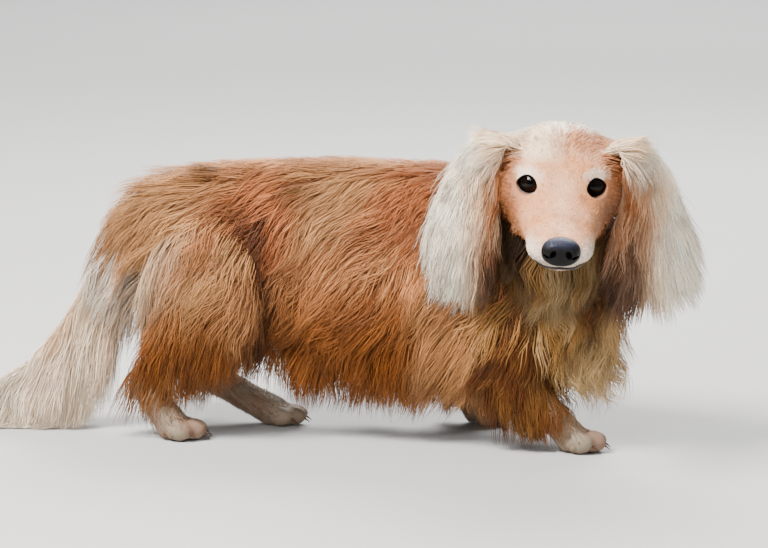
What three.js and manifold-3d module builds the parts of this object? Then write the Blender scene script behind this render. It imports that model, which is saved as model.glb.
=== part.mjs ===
// A life-size still model of a standing long-haired dachshund, in millimetres, +Z up and its spine along +X.
// The dog walks towards +X and turns its head to its own right, which is -Y.
// Each part of the body is a solid of its own, and thin gaps part it from what it grows from.
import * as THREE from "three";
import { mergeVertices } from "three/addons/utils/BufferGeometryUtils.js";
import Module from "manifold-3d";

const wasm = await Module();
wasm.setup();

// Driving dimensions of the dog
const GAP = 0.32; // between touching parts
const BACK_TOP = 236; // height of the back under its coat
const CHEST_LOW = 62; // height of the brisket under its coat
const CHEST_WIDE = 64; // half the width of the ribs
const COAT_BACK = 10; // how far the coat stands off the back
const COAT_SIDE = 13; // and off the ribs
const EYE_BALL = 10.4; // radius of the eyeball
const EYE_APART = 26.6; // from the middle of the face to each eye
const NOSE_WIDE = 15.5; // half the width of the nose leather
const HEAD_AT = [164.3, -138, 237.5]; // midpoint between the eyes
const HEAD_TURN = 84.8; // degrees that the face is turned to the dog's right
const HEAD_NOD = 7; // degrees that the muzzle points down
const HEAD_TILT = 2.5; // degrees that the left eye is lower
const LOWEST_TIP = 2.5; // height that the coat's tips stay above the floor

const v3 = (p) => new THREE.Vector3(...p);
const mix = (a, b, t) => a + (b - a) * t;
const smooth = (t) => t * t * (3 - 2 * t);

// A closed geometry as a manifold solid.
function solid(geometry) {
  const bare = geometry.index ? geometry.toNonIndexed() : geometry.clone();
  bare.deleteAttribute("normal");
  bare.deleteAttribute("uv");
  const merged = mergeVertices(bare, 1e-4);
  const mesh = new wasm.Mesh({
    numProp: 3,
    vertProperties: merged.attributes.position.array,
    triVerts: new Uint32Array(merged.index.array),
  });
  return new wasm.Manifold(mesh);
}

// A solid as a geometry again.
function geometryOf(made) {
  const mesh = made.getMesh();
  const places = new Float32Array(mesh.numVert * 3);
  for (let i = 0; i < mesh.numVert; i++)
    places.set(mesh.vertProperties.subarray(i * mesh.numProp, i * mesh.numProp + 3), i * 3);
  return new THREE.BufferGeometry()
    .setAttribute("position", new THREE.BufferAttribute(places, 3))
    .setIndex(new THREE.BufferAttribute(mesh.triVerts, 1));
}

const join = (pieces) => pieces.reduce((a, b) => a.add(b));
const moved = (made, matrix) => made.transform([...matrix.elements]);

// The largest closed body of a solid, with any sealed hollow filled.
function largest(made) {
  const bodies = made.decompose();
  return bodies.reduce((a, b) => (b.volume() > a.volume() ? b : a));
}

// A smooth body through stations, each with its middle, half width and heights above and below the middle.
// across is the side that the widths run along, or two sides that it turns between. sculpt moves a point of the
// surface along its outward direction.
function loft(stations, shape) {
  const { sides = 18, steps = 3, across = [0, 1, 0], square = 2, grow = 0, sculpt, caps = [0.6, 0.6] } = shape;
  const spine = new THREE.CatmullRomCurve3(stations.map((s) => v3(s.at)), false, "catmullrom");
  const sizes = new THREE.CatmullRomCurve3(
    stations.map((s) => new THREE.Vector3(s.wide, s.up, s.down)), false, "catmullrom");
  const count = (stations.length - 1) * steps;
  const rings = [];
  for (let i = 0; i <= count; i++) {
    const t = i / count;
    const twisted = Array.isArray(across[0]);
    const turned = twisted ? v3(across[0]).lerp(v3(across[1]), Math.min(1, t * 2)) : v3(across);
    rings.push({ at: spine.getPoint(t), along: spine.getTangent(t), size: sizes.getPoint(t), across: turned });
  }
  const dome = [0.5, 0.87];
  const capRings = (ring, sign, cap) => {
    const reach = cap * Math.min(ring.size.x, (ring.size.y + ring.size.z) / 2) + grow;
    return dome.map((s) => ({
      at: ring.at.clone().addScaledVector(ring.along, sign * reach * s),
      along: ring.along,
      across: ring.across,
      size: ring.size.clone().addScalar(grow).multiplyScalar(Math.sqrt(1 - s * s)).subScalar(grow),
      reach,
    }));
  };
  const first = capRings(rings[0], -1, caps[0]);
  const last = capRings(rings[count], 1, caps[1]);
  const all = [...first.slice().reverse(), ...rings, ...last];
  const points = [];
  for (const ring of all) {
    const ahead = ring.along;
    const high = new THREE.Vector3().crossVectors(ahead, ring.across).normalize();
    const side = new THREE.Vector3().crossVectors(high, ahead);
    for (let k = 0; k < sides; k++) {
      const turn = (2 * Math.PI * k) / sides;
      const [c, s] = [Math.cos(turn), Math.sin(turn)];
      const a = Math.sign(c) * Math.abs(c) ** (2 / square) * (ring.size.x + grow);
      const b = Math.sign(s) * Math.abs(s) ** (2 / square) * ((s >= 0 ? ring.size.y : ring.size.z) + grow);
      const out = side.clone().multiplyScalar(a).addScaledVector(high, b);
      const place = ring.at.clone().add(out);
      if (sculpt) place.addScaledVector(out.normalize(), sculpt(place));
      points.push(place);
    }
  }
  const poleA = rings[0].at.clone().addScaledVector(rings[0].along, -first[0].reach);
  const poleB = rings[count].at.clone().addScaledVector(rings[count].along, last[0].reach);
  points.push(poleA, poleB);
  const index = [];
  const next = (k) => (k + 1) % sides;
  for (let i = 0; i < all.length - 1; i++)
    for (let k = 0; k < sides; k++) {
      const [a, b] = [i * sides + k, i * sides + next(k)];
      index.push(a, b, b + sides, a, b + sides, a + sides);
    }
  const [start, end] = [points.length - 2, points.length - 1];
  for (let k = 0; k < sides; k++) {
    index.push(start, next(k), k);
    const row = (all.length - 1) * sides;
    index.push(end, row + k, row + next(k));
  }
  const geometry = new THREE.BufferGeometry().setFromPoints(points).setIndex(index);
  return solid(geometry);
}

const station = (at, wide, up, down = up) => ({ at, wide, up, down });

// A ball squeezed to three half sizes.
function ball(at, half, detail = 12) {
  const geometry = new THREE.SphereGeometry(1, detail, Math.round(detail * 0.7));
  geometry.scale(...half).translate(...at);
  return solid(geometry);
}

// The head's own frame: x towards the nose, y to the left, z up, from the midpoint between the eyes.
const headFrame = new THREE.Group();
headFrame.position.set(...HEAD_AT);
headFrame.rotation.order = "ZYX";
headFrame.rotation.set(
  -THREE.MathUtils.degToRad(HEAD_TILT),
  THREE.MathUtils.degToRad(HEAD_NOD),
  -THREE.MathUtils.degToRad(HEAD_TURN),
);
headFrame.updateMatrixWorld(true);

// Soft rises and hollows of the head: place, reach and height, alike on both sides.
const HEAD_FORMS = [
  { at: [4, 21, 15], reach: [11, 12, 9], lift: 3 }, // brow
  { at: [6, 30, 0], reach: [11, 9, 11], lift: -3.5 }, // eye hollow
  { at: [-22, 48, -12], reach: [24, 14, 16], lift: 3.5 }, // cheekbone
  { at: [62, 18, -40], reach: [20, 12, 10], lift: 3.5 }, // upper lip
  { at: [12, 0, 6], reach: [14, 8, 10], lift: -2.5 }, // stop
  { at: [34, 20, -14], reach: [22, 9, 12], lift: -2 }, // side of the muzzle
];
function headForm(p) {
  let lift = 0;
  for (const form of HEAD_FORMS) {
    const d = [p.x - form.at[0], Math.abs(p.y) - form.at[1], p.z - form.at[2]];
    const near = d.reduce((sum, value, i) => sum + (value / form.reach[i]) ** 2, 0);
    lift += form.lift * Math.exp(-near);
  }
  return lift;
}

function skull(grow = 0) {
  return loft([
    station([-100, 0, -12], 30, 30, 34),
    station([-84, 0, -10], 42, 42, 42),
    station([-60, 0, -8], 48, 47, 48),
    station([-38, 0, -8], 49.5, 45, 50),
    station([-18, 0, -10], 47, 37, 47),
    station([0, 0, -15], 41, 27, 40),
    station([20, 0, -24], 34, 22, 30),
    station([40, 0, -30], 29, 20, 22),
    station([60, 0, -33], 26, 17, 17),
    station([76, 0, -34], 21, 13, 11),
  ], { sides: 24, steps: 2, square: 2.15, grow, sculpt: headForm, caps: [0.7, 0.35] });
}

function jaw(grow = 0) {
  return loft([
    station([-30, 0, -34], 36, 18, 24),
    station([0, 0, -38], 30, 14, 17),
    station([30, 0, -41], 23, 12, 13),
    station([56, 0, -44], 18, 9, 9.5),
    station([72, 0, -45], 13, 6, 7.5),
  ], { sides: 14, steps: 2, grow });
}

const EYE_FACETS = 14;
const EYE_HALF = [9.6, 7.4]; // half the width and height of the opening between the lids
// An eyeball's middle on one side, and the direction that it looks in.
const eyeAt = (side) => [-8.5, side * (EYE_APART - 2.6), -1];
const eyeLook = (side) => new THREE.Vector3(0.9, side * 0.42, 0.1).normalize();

// Each eye's opening, almond shaped, cut through the lids.
function eyeOpening(side) {
  const half = EYE_HALF;
  const almond = new THREE.Shape();
  almond.moveTo(-half[0], 0);
  almond.quadraticCurveTo(-half[0] * 0.55, half[1] * 1.25, half[0] * 0.1, half[1]);
  almond.quadraticCurveTo(half[0] * 0.75, half[1] * 0.75, half[0], 0);
  almond.quadraticCurveTo(half[0] * 0.4, -half[1] * 1.05, -half[0] * 0.2, -half[1] * 0.9);
  almond.quadraticCurveTo(-half[0] * 0.75, -half[1] * 0.6, -half[0], 0);
  const geometry = new THREE.ExtrudeGeometry(almond, { depth: 26, bevelEnabled: false, curveSegments: 5 });
  const look = eyeLook(side);
  const across = new THREE.Vector3().crossVectors(new THREE.Vector3(0, 0, 1), look).normalize();
  const high = new THREE.Vector3().crossVectors(look, across);
  geometry.applyMatrix4(new THREE.Matrix4().makeBasis(across, high, look));
  geometry.translate(...eyeAt(side));
  return solid(geometry);
}

function headSolid() {
  const lids = [1, -1].map((side) => ball(eyeAt(side), [EYE_BALL + 2.2, EYE_BALL + 2.2, EYE_BALL + 1.8], 16));
  let head = join([skull(), jaw(), ...lids]);
  for (const side of [1, -1]) {
    head = head.subtract(ball(eyeAt(side), Array(3).fill(EYE_BALL + GAP), EYE_FACETS));
    head = head.subtract(eyeOpening(side));
  }
  return head.subtract(noseBlank(GAP)).subtract(mouthLine());
}

// The mouth line, a groove between the upper lip and the jaw.
function mouthLine() {
  const half = [
    [88, 0, -46.5], [80, 9, -47], [70, 17.5, -47.5], [54, 24, -47], [36, 28.5, -46], [18, 33, -45.5],
    [4, 38, -44],
  ];
  const path = [...half.slice(1).reverse().map(([x, y, z]) => [x, -y, z]), ...half];
  const curve = new THREE.CatmullRomCurve3(path.map(v3));
  const section = new THREE.Shape();
  section.absarc(0, 0, 1.5, 0, 2 * Math.PI);
  return solid(new THREE.ExtrudeGeometry(section, { steps: 20, extrudePath: curve, curveSegments: 2 }));
}

function noseBlank(grow = 0) {
  return loft([
    station([80, 0, -32], NOSE_WIDE - 2, 11, 10.5),
    station([86, 0, -32], NOSE_WIDE, 11.5, 11.5),
    station([91, 0, -33], NOSE_WIDE - 2.5, 9.5, 10),
  ], { sides: 14, steps: 1, square: 2.3, grow, caps: [0.3, 0.3] });
}

// The nose leather with its nostrils and the groove between them.
function noseSolid() {
  let nose = noseBlank();
  for (const side of [1, -1]) {
    const nostril = new THREE.SphereGeometry(1, 8, 6).scale(5.5, 2.2, 3.6);
    nostril.rotateX(side * 0.5).rotateZ(side * 0.35).translate(94, side * 6.4, -32.5);
    nose = nose.subtract(solid(nostril));
    const slit = new THREE.SphereGeometry(1, 8, 5).scale(5, 3.4, 1.1);
    slit.rotateX(side * 0.35).translate(91, side * 11.5, -34.5);
    nose = nose.subtract(solid(slit));
  }
  const groove = new THREE.BoxGeometry(3, 1, 12).translate(95.6, 0, -40);
  return nose.subtract(solid(groove));
}

const eyeSolid = (side) => ball(eyeAt(side), Array(3).fill(EYE_BALL), EYE_FACETS);

// An ear in the head's frame: a flap that hangs from its root and flares outwards, bent round the cheek.
const EAR_PATH = [[-42, 34, 20], [-40, 50, 24], [-38, 64, 9], [-37, 73, -18], [-38, 78, -50], [-40, 80, -78]];
const EAR_WIDE = [17, 20, 24, 30, 33, 24];
const EAR_THICK = [5, 5, 5.5, 6, 6, 3];
const EAR_ACROSS = [[1, -0.2, 0], [0.5, -0.86, 0.05]];
function earFlap(side, grow = 0) {
  const stations = EAR_PATH.map(([x, y, z], i) =>
    station([x, side * y, z], EAR_WIDE[i], EAR_THICK[i], EAR_THICK[i]));
  const across = EAR_ACROSS.map(([x, y, z]) => [x, side * y, z]);
  return loft(stations, { sides: 10, steps: 2, across, grow, caps: [0.5, 0.5] });
}

function torsoCore(grow = 0) {
  const mid = (CHEST_LOW + BACK_TOP) / 2;
  const half = (BACK_TOP - CHEST_LOW) / 2;
  return loft([
    station([-226, -4, 172], 26, 24, 28),
    station([-206, -3, 174], 46, 42, 50),
    station([-165, -1, 172], 57, 60, 60),
    station([-112, 0, 166], 56, 72, 66),
    station([-60, 0, 158], 62, 82, 76),
    station([0, -2, mid + 3], CHEST_WIDE + 3, half, half + 3),
    station([55, -6, mid], CHEST_WIDE + 5, half, half + 2),
    station([96, -12, mid - 4], CHEST_WIDE + 3, half - 22, half),
    station([136, -22, mid - 10], CHEST_WIDE - 4, half - 44, half - 10),
    station([166, -32, mid - 16], CHEST_WIDE - 16, half - 52, half - 22),
    station([186, -38, mid - 22], CHEST_WIDE - 36, half - 64, half - 40),
  ].map((s) => station(s.at, s.wide + COAT_SIDE / 2, s.up + COAT_BACK / 2, s.down + COAT_BACK / 2)),
  { sides: 16, steps: 2, square: 2.2, grow });
}

function neckCore(grow = 0) {
  return loft([
    station([96, -12, 172], 52, 50, 66),
    station([122, -26, 190], 50, 48, 72),
    station([146, -50, 206], 48, 46, 74),
    station([158, -84, 216], 44, 46, 60),
  ], { sides: 12, steps: 2, across: [0.4, 0.9, 0], grow });
}

// Each leg's joints: shoulder or hip, elbow or stifle, wrist or hock, and the toes' middle.
const LEGS = {
  fore_right: { fore: true, top: [140, -56, 118], knee: [112, -64, 82], ankle: [146, -56, 36], toes: [170, -56, 12] },
  fore_left: { fore: true, top: [132, 34, 118], knee: [92, 50, 84], ankle: [62, 48, 36], toes: [80, 46, 12] },
  hind_right: { top: [-166, -40, 170], knee: [-122, -56, 106], ankle: [-204, -52, 52], toes: [-176, -54, 12] },
  hind_left: { top: [-166, 36, 170], knee: [-118, 46, 104], ankle: [-162, 24, 42], toes: [-100, 18, 12] },
};

const between = (a, b, t) => a.map((value, i) => mix(value, b[i], t));

function upperLeg(leg, grow = 0) {
  const across = [0.01, 1, 0];
  if (leg.fore)
    return loft([
      station(between(leg.top, leg.knee, -0.15), 26, 30, 30),
      station(between(leg.top, leg.knee, 0.45), 27, 32, 34),
      station(leg.knee, 22, 26, 30),
    ], { sides: 10, steps: 2, across, grow });
  return loft([
    station(leg.top, 28, 48, 48),
    station(between(leg.top, leg.knee, 0.5), 29, 50, 56),
    station(leg.knee, 21, 30, 42),
  ], { sides: 12, steps: 1, across, grow });
}

function lowerLeg(leg, grow = 0) {
  const across = [0.01, 1, 0];
  const size = leg.fore ? [21, 17, 15] : [24, 17, 14];
  return loft([
    station(leg.knee, size[0] - 2, size[0], size[0] + 4),
    station(between(leg.knee, leg.ankle, 0.5), size[1], size[1], size[1] + 5),
    station(leg.ankle, size[2] - 1, size[2], size[2] + 2),
  ], { sides: 8, steps: 2, across, grow });
}

// Each toe's place ahead of the foot's middle and to its left, and half its length.
const TOES = [[0, -13.5, 8], [9, -5, 10], [9, 5, 10], [0, 13.5, 8]];
const CLAW = { thick: 2, long: 9, bend: -1.9 };

// A paw from the ankle down, with four toes and their claws, flat under the sole.
function paw(leg, grow = 0) {
  const [ax, ay, az] = leg.ankle;
  const [tx, ty] = leg.toes;
  const pieces = [
    loft([
      station([ax, ay, az], 13.5, 15, 15),
      station([mix(ax, tx, 0.5), mix(ay, ty, 0.5), mix(az, 16, 0.62)], 15.5, 14, 14),
      station([tx, ty, 13], 17, 13, 17),
    ], { sides: 8, steps: 2, across: [0, 1, 0], grow }),
  ];
  for (const [forward, side, half] of TOES) {
    pieces.push(ball([tx + 7 + forward, ty + side * 0.9, 8], [half + 4 + grow, 7.2 + grow, 10.5 + grow], 6));
    const claw = new THREE.ConeGeometry(CLAW.thick, CLAW.long, 3).rotateZ(CLAW.bend);
    claw.translate(tx + 19.5 + forward, ty + side * 0.95, 6.2);
    if (!grow) pieces.push(solid(claw));
  }
  const below = solid(new THREE.BoxGeometry(400, 400, 60).translate(tx, ty, -30 - grow));
  return join(pieces).subtract(below);
}

// The tail hangs from the rump and curves back to the ground.
const TAIL_PATH = [
  [-206, -2, 186], [-228, -6, 168], [-250, -12, 132], [-274, -18, 92], [-306, -24, 58], [-350, -30, 33],
];
const TAIL_WIDE = [14, 13, 13, 12, 10, 6];
const TAIL_ABOVE = [11, 11, 11, 10, 9, 5];
const TAIL_BELOW = [16, 18, 20, 22, 20, 9];
function tailCore(grow = 0) {
  return loft(TAIL_PATH.map((at, i) => station(at, TAIL_WIDE[i], TAIL_ABOVE[i], TAIL_BELOW[i])),
    { sides: 10, steps: 2, across: [0, -1, 0], grow, caps: [0.5, 0.8] });
}

// Seeded draws, so that every build gives the same locks.
const LOCK_SEED = 20;
let drawState = LOCK_SEED;
function draw(spread) {
  drawState = (drawState * 1664525 + 1013904223) % 4294967296;
  return (drawState / 4294967296 - 0.5) * 2 * spread;
}

// One lock: flat beneath, ridged above, tapered and bent, from its root inside the body to its tip.
const LOCK_RINGS = [0, 0.4, 0.76];
const LOCK_FULLNESS = [0.8, 1, 0.66];
const LOCK_CORNERS = 3;
function lock(shape, grow = 0) {
  const { root, tip, bulge, face, wide, thick, twist } = shape;
  const knee = root.clone().add(tip).multiplyScalar(0.5).add(bulge);
  const spine = new THREE.QuadraticBezierCurve3(root, knee, tip);
  const points = [];
  LOCK_RINGS.forEach((t, ring) => {
    const ahead = spine.getTangent(t);
    const side = new THREE.Vector3().crossVectors(ahead, face).normalize().applyAxisAngle(ahead, twist * t);
    const high = new THREE.Vector3().crossVectors(side, ahead);
    const at = spine.getPoint(t).addScaledVector(ahead, ring ? 0 : -grow);
    const half = (wide / 2) * LOCK_FULLNESS[ring] + grow * 4.5;
    const deep = (thick / 2) * LOCK_FULLNESS[ring];
    const under = at.clone().addScaledVector(high, -deep * 0.6 - grow);
    points.push(under.clone().addScaledVector(side, half), at.clone().addScaledVector(high, deep + grow * 1.4));
    points.push(under.addScaledVector(side, -half));
  });
  points.push(tip.clone().addScaledVector(spine.getTangent(1), grow * 6));
  const index = [0, 1, 2];
  for (let ring = 0; ring < LOCK_RINGS.length - 1; ring++)
    for (let k = 0; k < LOCK_CORNERS; k++) {
      const [a, b] = [ring * LOCK_CORNERS + k, ring * LOCK_CORNERS + ((k + 1) % LOCK_CORNERS)];
      index.push(a, b + LOCK_CORNERS, b, a, a + LOCK_CORNERS, b + LOCK_CORNERS);
    }
  const row = (LOCK_RINGS.length - 1) * LOCK_CORNERS;
  for (let k = 0; k < LOCK_CORNERS; k++) index.push(row + k, points.length - 1, row + ((k + 1) % LOCK_CORNERS));
  const made = solid(new THREE.BufferGeometry().setFromPoints(points).setIndex(index));
  return made.volume() < 0 ? null : made;
}

// Sizes of the locks: long, wide, thick, how far the tip lifts and how deep the root is sunk.
const LOCK_SIZES = {
  side: { long: 90, wide: 46, thick: 8, lift: 8, sunk: 5 },
  back: { long: 84, wide: 36, thick: 6, lift: 3, sunk: 4 },
  fringe: { long: 52, wide: 40, thick: 9, lift: 5, sunk: 10 },
  frill: { long: 58, wide: 26, thick: 9, lift: 8, sunk: 8 },
  puff: { long: 66, wide: 34, thick: 14, lift: 12, sunk: 10 },
  breeches: { long: 92, wide: 32, thick: 10, lift: 7, sunk: 9 },
  feather: { long: 54, wide: 24, thick: 7, lift: 6, sunk: 6 },
  ear: { long: 56, wide: 25, thick: 5, lift: 4, sunk: 3.5 },
  flag: { long: 86, wide: 40, thick: 9, lift: 5, sunk: 7 },
};

// A row of locks on a core. Each root is where a ray leaves the core, from a line inside it along out,
// and the lock lies along lie. Both directions change evenly from the first lock to the last.
const caster = new THREE.Raycaster();
function rowOfLocks(core, row, lowest) {
  const size = { ...LOCK_SIZES[row.size], ...row };
  const line = new THREE.CatmullRomCurve3(row.line.map(v3));
  const locks = [];
  for (let k = 0; k < row.count; k++) {
    const t = Math.min(1, Math.max(0, (k + 0.5 + draw(0.25)) / row.count));
    const inner = line.getPoint(t);
    const out = v3(row.out[0]).lerp(v3(row.out.at(-1)), t).normalize();
    const lie = v3(row.lie[0]).lerp(v3(row.lie.at(-1)), t).normalize();
    lie.add(new THREE.Vector3(draw(0.13), draw(0.1), draw(0.13)));
    caster.set(inner.clone().addScaledVector(out, 200), out.clone().negate());
    const hit = caster.intersectObject(core)[0];
    if (!hit) continue;
    const inward = Math.min(0, lie.dot(hit.face.normal));
    lie.addScaledVector(hit.face.normal, -inward).normalize();
    const reach = size.long * (1 + draw(0.14));
    const root = hit.point.clone().addScaledVector(hit.face.normal, -size.sunk);
    const tip = hit.point.clone().addScaledVector(lie, reach).addScaledVector(out, size.lift + draw(1.5));
    tip.z = Math.max(tip.z, lowest);
    const bulge = out.clone().multiplyScalar(size.bulge ?? size.sunk + size.lift * 0.5);
    bulge.addScaledVector(new THREE.Vector3().crossVectors(lie, out).normalize(), draw(size.long * 0.14));
    const wide = size.wide * (1 + draw(0.16));
    locks.push({ root, tip, bulge, face: out, wide, thick: size.thick, twist: draw(0.4) });
  }
  return locks;
}

const mirrored = ([x, y, z]) => [x, -y, z];
const mirroredRow = (row) => ({
  ...row,
  line: row.line.map(mirrored),
  out: row.out.map(mirrored),
  lie: row.lie.map(mirrored),
});

// Rows of the dog's right side, which the left side mirrors.
const FLANK = [
  { size: "back", count: 3, line: [[-150, -10, 190], [0, -10, 190], [100, -12, 160]], out: [[0, -0.7, 0.75]],
    lie: [[-0.75, -0.3, -0.5], [-0.85, -0.2, -0.4]] },
  { size: "side", count: 5, line: [[-120, -8, 168], [0, -10, 160], [135, -20, 140]], out: [[0, -1, 0.1]],
    lie: [[-0.5, -0.05, -0.85], [-0.75, 0, -0.65]] },
  { size: "side", count: 4, line: [[-115, -8, 140], [0, -10, 122], [140, -20, 112]], out: [[0, -1, -0.35]],
    lie: [[-0.3, 0.1, -0.9], [-0.5, 0.1, -0.85]], long: 74 },
  { size: "fringe", count: 5, line: [[-112, -8, 120], [0, -12, 100], [112, -20, 96]], out: [[0, -0.5, -0.85]],
    lie: [[-0.15, -0.02, -1], [-0.3, 0.0, -0.95]] },
];
const BREECHES = [
  { size: "breeches", count: 3, line: [[-200, -6, 172], [-200, -20, 152]], long: 100,
    out: [[-1, -0.25, 0], [-0.7, -0.9, -0.1]], lie: [[-0.3, -0.05, -1], [-0.2, -0.1, -1]] },
  { size: "back", count: 2, line: [[-190, -8, 190], [-196, -12, 176]], long: 62, lift: 13,
    out: [[-0.8, -0.4, 0.6], [-0.8, -0.7, 0.2]], lie: [[-0.55, 0, -0.8]] },
];
const CHEST = [
  { size: "frill", count: 3, line: [[140, -40, 140], [164, -20, 132], [150, 22, 132]], lie: [[0.1, -0.15, -1]],
    out: [[0.2, -1, 0], [0.5, 1, 0]] },
  { size: "puff", count: 4, line: [[140, -30, 112], [150, 14, 112]], lie: [[0.1, 0, -1], [0.45, 0.1, -0.9]],
    out: [[0.5, -0.9, -0.4], [0.8, 0.6, -0.5]] },
  { size: "puff", count: 3, line: [[140, -10, 90], [140, 20, 90]], lie: [[0.3, 0, -1], [0.5, 0.15, -0.85]],
    out: [[0.5, -0.4, -0.8], [0.5, 0.7, -0.7]], long: 54, wide: 42 },
];
const NECK_FRILL = [
  { size: "frill", count: 2, line: [[112, -40, 184], [136, -60, 192], [152, -62, 192]], lie: [[0, -0.1, -1]],
    out: [[-0.4, -1, -0.1], [0.5, -1, -0.3]] },
  { size: "frill", count: 4, line: [[150, -60, 190], [160, -50, 196], [150, -30, 200]], lie: [[0.25, -0.1, -1]],
    out: [[0.6, -0.8, -0.4], [1, 0.1, 0]] },
  { size: "frill", count: 1, line: [[120, -30, 200], [134, -36, 204]], lie: [[-0.2, 0.3, -1]],
    out: [[-0.3, 1, 0.4], [0.8, 0.7, 0.2]] },
];
const TAIL_FLAG = [-1, 1].flatMap((side) => [
  { size: "flag", count: 4, line: TAIL_PATH.slice(1), out: [[0.5, side * 0.6, -0.5], [0.1, side * 0.5, -0.8]],
    lie: [[-0.15, side * 0.05, -1], [-0.7, side * 0.15, -0.7]] },
]);
TAIL_FLAG.push({ size: "flag", count: 2, line: TAIL_PATH.slice(1), out: [[-0.8, 0, 0.6], [-0.4, 0, 0.9]],
  lie: [[-0.7, 0, -0.7], [-0.9, 0, -0.4]], long: 60, thick: 5, lift: 3 });

// Feathering down the back of a foreleg, and on the back of a thigh and shank.
const foreFeather = (leg) => {
  const side = Math.sign(leg.top[1]);
  return [{ size: "feather", count: 3, line: [between(leg.top, leg.knee, 0.3), leg.knee],
    out: [[-0.9, side * 0.5, -0.1], [-1, side * 0.3, -0.2]], lie: [[-0.1, side * 0.05, -1], [0.2, 0, -1]] }];
};
const foreLowFeather = (leg) => [{ size: "feather", count: 3, line: [leg.knee, leg.ankle], long: 42, wide: 32,
  out: [[-0.6, Math.sign(leg.top[1]) * 0.8, -0.2]], lie: [[0.2, 0, -1]] }];
const thighBreeches = (leg) => {
  const side = Math.sign(leg.top[1]);
  return [
    { size: "breeches", count: 4, line: [between(leg.top, leg.knee, 0.15), between(leg.top, leg.knee, 1)],
      out: [[-0.8, side * 0.8, 0]], lie: [[-0.35, side * 0.1, -1], [-0.3, side * 0.05, -1]] },
    { size: "breeches", count: 3, line: [between(leg.top, leg.knee, 0), between(leg.top, leg.knee, 1)],
      out: [[0.3, side, 0]], lie: [[-0.5, 0, -0.85]], long: 64, thick: 7, lift: 3 },
  ];
};
const shankFeather = (leg) => [{ size: "feather", count: 4, line: [leg.knee, leg.ankle], long: 62, wide: 32,
  out: [[-0.5, Math.sign(leg.top[1]) * 0.9, -0.3]], lie: [[-0.3, 0, -1], [-0.25, 0, -1]] }];

// An ear's locks: down its outer face in two tiers, off its lower end and along its outer edge.
// The left ear swings out further than the right.
const earLocks = (side) => {
  const flare = side > 0 ? 0.28 : 0.02;
  const rows = [
    { size: "ear", count: 3, line: [EAR_PATH[1], EAR_PATH[3]], out: [[0.8, 1, 0.2]],
      lie: [[-0.35, 0.2 + flare, -1]] },
    { size: "ear", count: 2, line: [[-34, 70, -24], [-44, 84, -28]], out: [[0.9, 0.9, 0]],
      lie: [[0.1, 0.05, -1], [-0.2, 0.15 + flare, -1]] },
    { size: "ear", count: 4, line: [[-26, 66, -70], [-54, 94, -66]], out: [[0.4, 0.2, -0.5], [-0.3, 0.6, -0.4]],
      lie: [[0.1, 0.02, -1], [-0.1, 0.15 + flare, -1]], long: 46, sunk: 8 },
    { size: "ear", count: 3, line: [EAR_PATH[2], EAR_PATH[4]], out: [[-0.6, 0.9, 0]],
      lie: [[-0.3, 0.25 + flare, -0.85], [-0.2, 0.2 + flare, -0.95]] },
  ];
  return side > 0 ? rows : rows.map(mirroredRow);
};

// Colours of the parts
const finish = (color, roughness) => new THREE.MeshStandardMaterial({ color, roughness, metalness: 0 });
const RED_COAT = finish(0xb5763f, 0.85);
const FACE_COAT = finish(0xd2a079, 0.85);
const PALE_COAT = finish(0xdcc4a4, 0.85);
const NOSE_LEATHER = finish(0x17161a, 0.35);
const EYE_DARK = finish(0x120c08, 0.08);

// Every part: its solid, the solid that its neighbours are cut clear of, and its rows of locks.
const body = new THREE.Group();
const parts = [];
function addPart(name, material, group, core, grown, rows = []) {
  const surface = new THREE.Mesh(geometryOf(core), material);
  const lowest = group === body ? LOWEST_TIP : -Infinity;
  const shapes = rows.flatMap((row) => rowOfLocks(surface, row, lowest));
  const place = (made) => moved(made, group.matrixWorld);
  parts.push({
    name, material, group, core: place(core), grown: grown && place(grown), shapes,
    locks: shapes.map((shape) => lock(shape)).filter(Boolean).map(place),
    wideLocks: shapes.map((shape) => lock(shape, GAP)).filter(Boolean).map(place),
  });
}

addPart("head", FACE_COAT, headFrame, headSolid(), join([skull(GAP), jaw(GAP)]));
addPart("nose", NOSE_LEATHER, headFrame, noseSolid(), null);
addPart("torso", RED_COAT, body, torsoCore(), torsoCore(GAP), [
  ...FLANK, ...FLANK.map(mirroredRow), ...BREECHES, ...BREECHES.map(mirroredRow), ...CHEST,
]);
addPart("neck", RED_COAT, body, neckCore(), neckCore(GAP), NECK_FRILL);
for (const [name, side] of [["left", 1], ["right", -1]]) {
  addPart("eye_" + name, EYE_DARK, headFrame, eyeSolid(side), null);
  addPart("ear_" + name, PALE_COAT, headFrame, earFlap(side), earFlap(side, GAP), earLocks(side));
}
addPart("tail", PALE_COAT, body, tailCore(), tailCore(GAP), TAIL_FLAG);
for (const [name, leg] of Object.entries(LEGS)) {
  const [upper, lower] = leg.fore ? ["upper_arm", "forearm"] : ["thigh", "shank"];
  const [upperRows, lowerRows] = leg.fore ? [foreFeather, foreLowFeather] : [thighBreeches, shankFeather];
  addPart(`${upper}_${name}`, RED_COAT, body, upperLeg(leg), upperLeg(leg, GAP), upperRows(leg));
  addPart(`${lower}_${name}`, RED_COAT, body, lowerLeg(leg), lowerLeg(leg, GAP), lowerRows(leg));
  addPart(`paw_${name}`, PALE_COAT, body, paw(leg), paw(leg, GAP));
}

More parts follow.
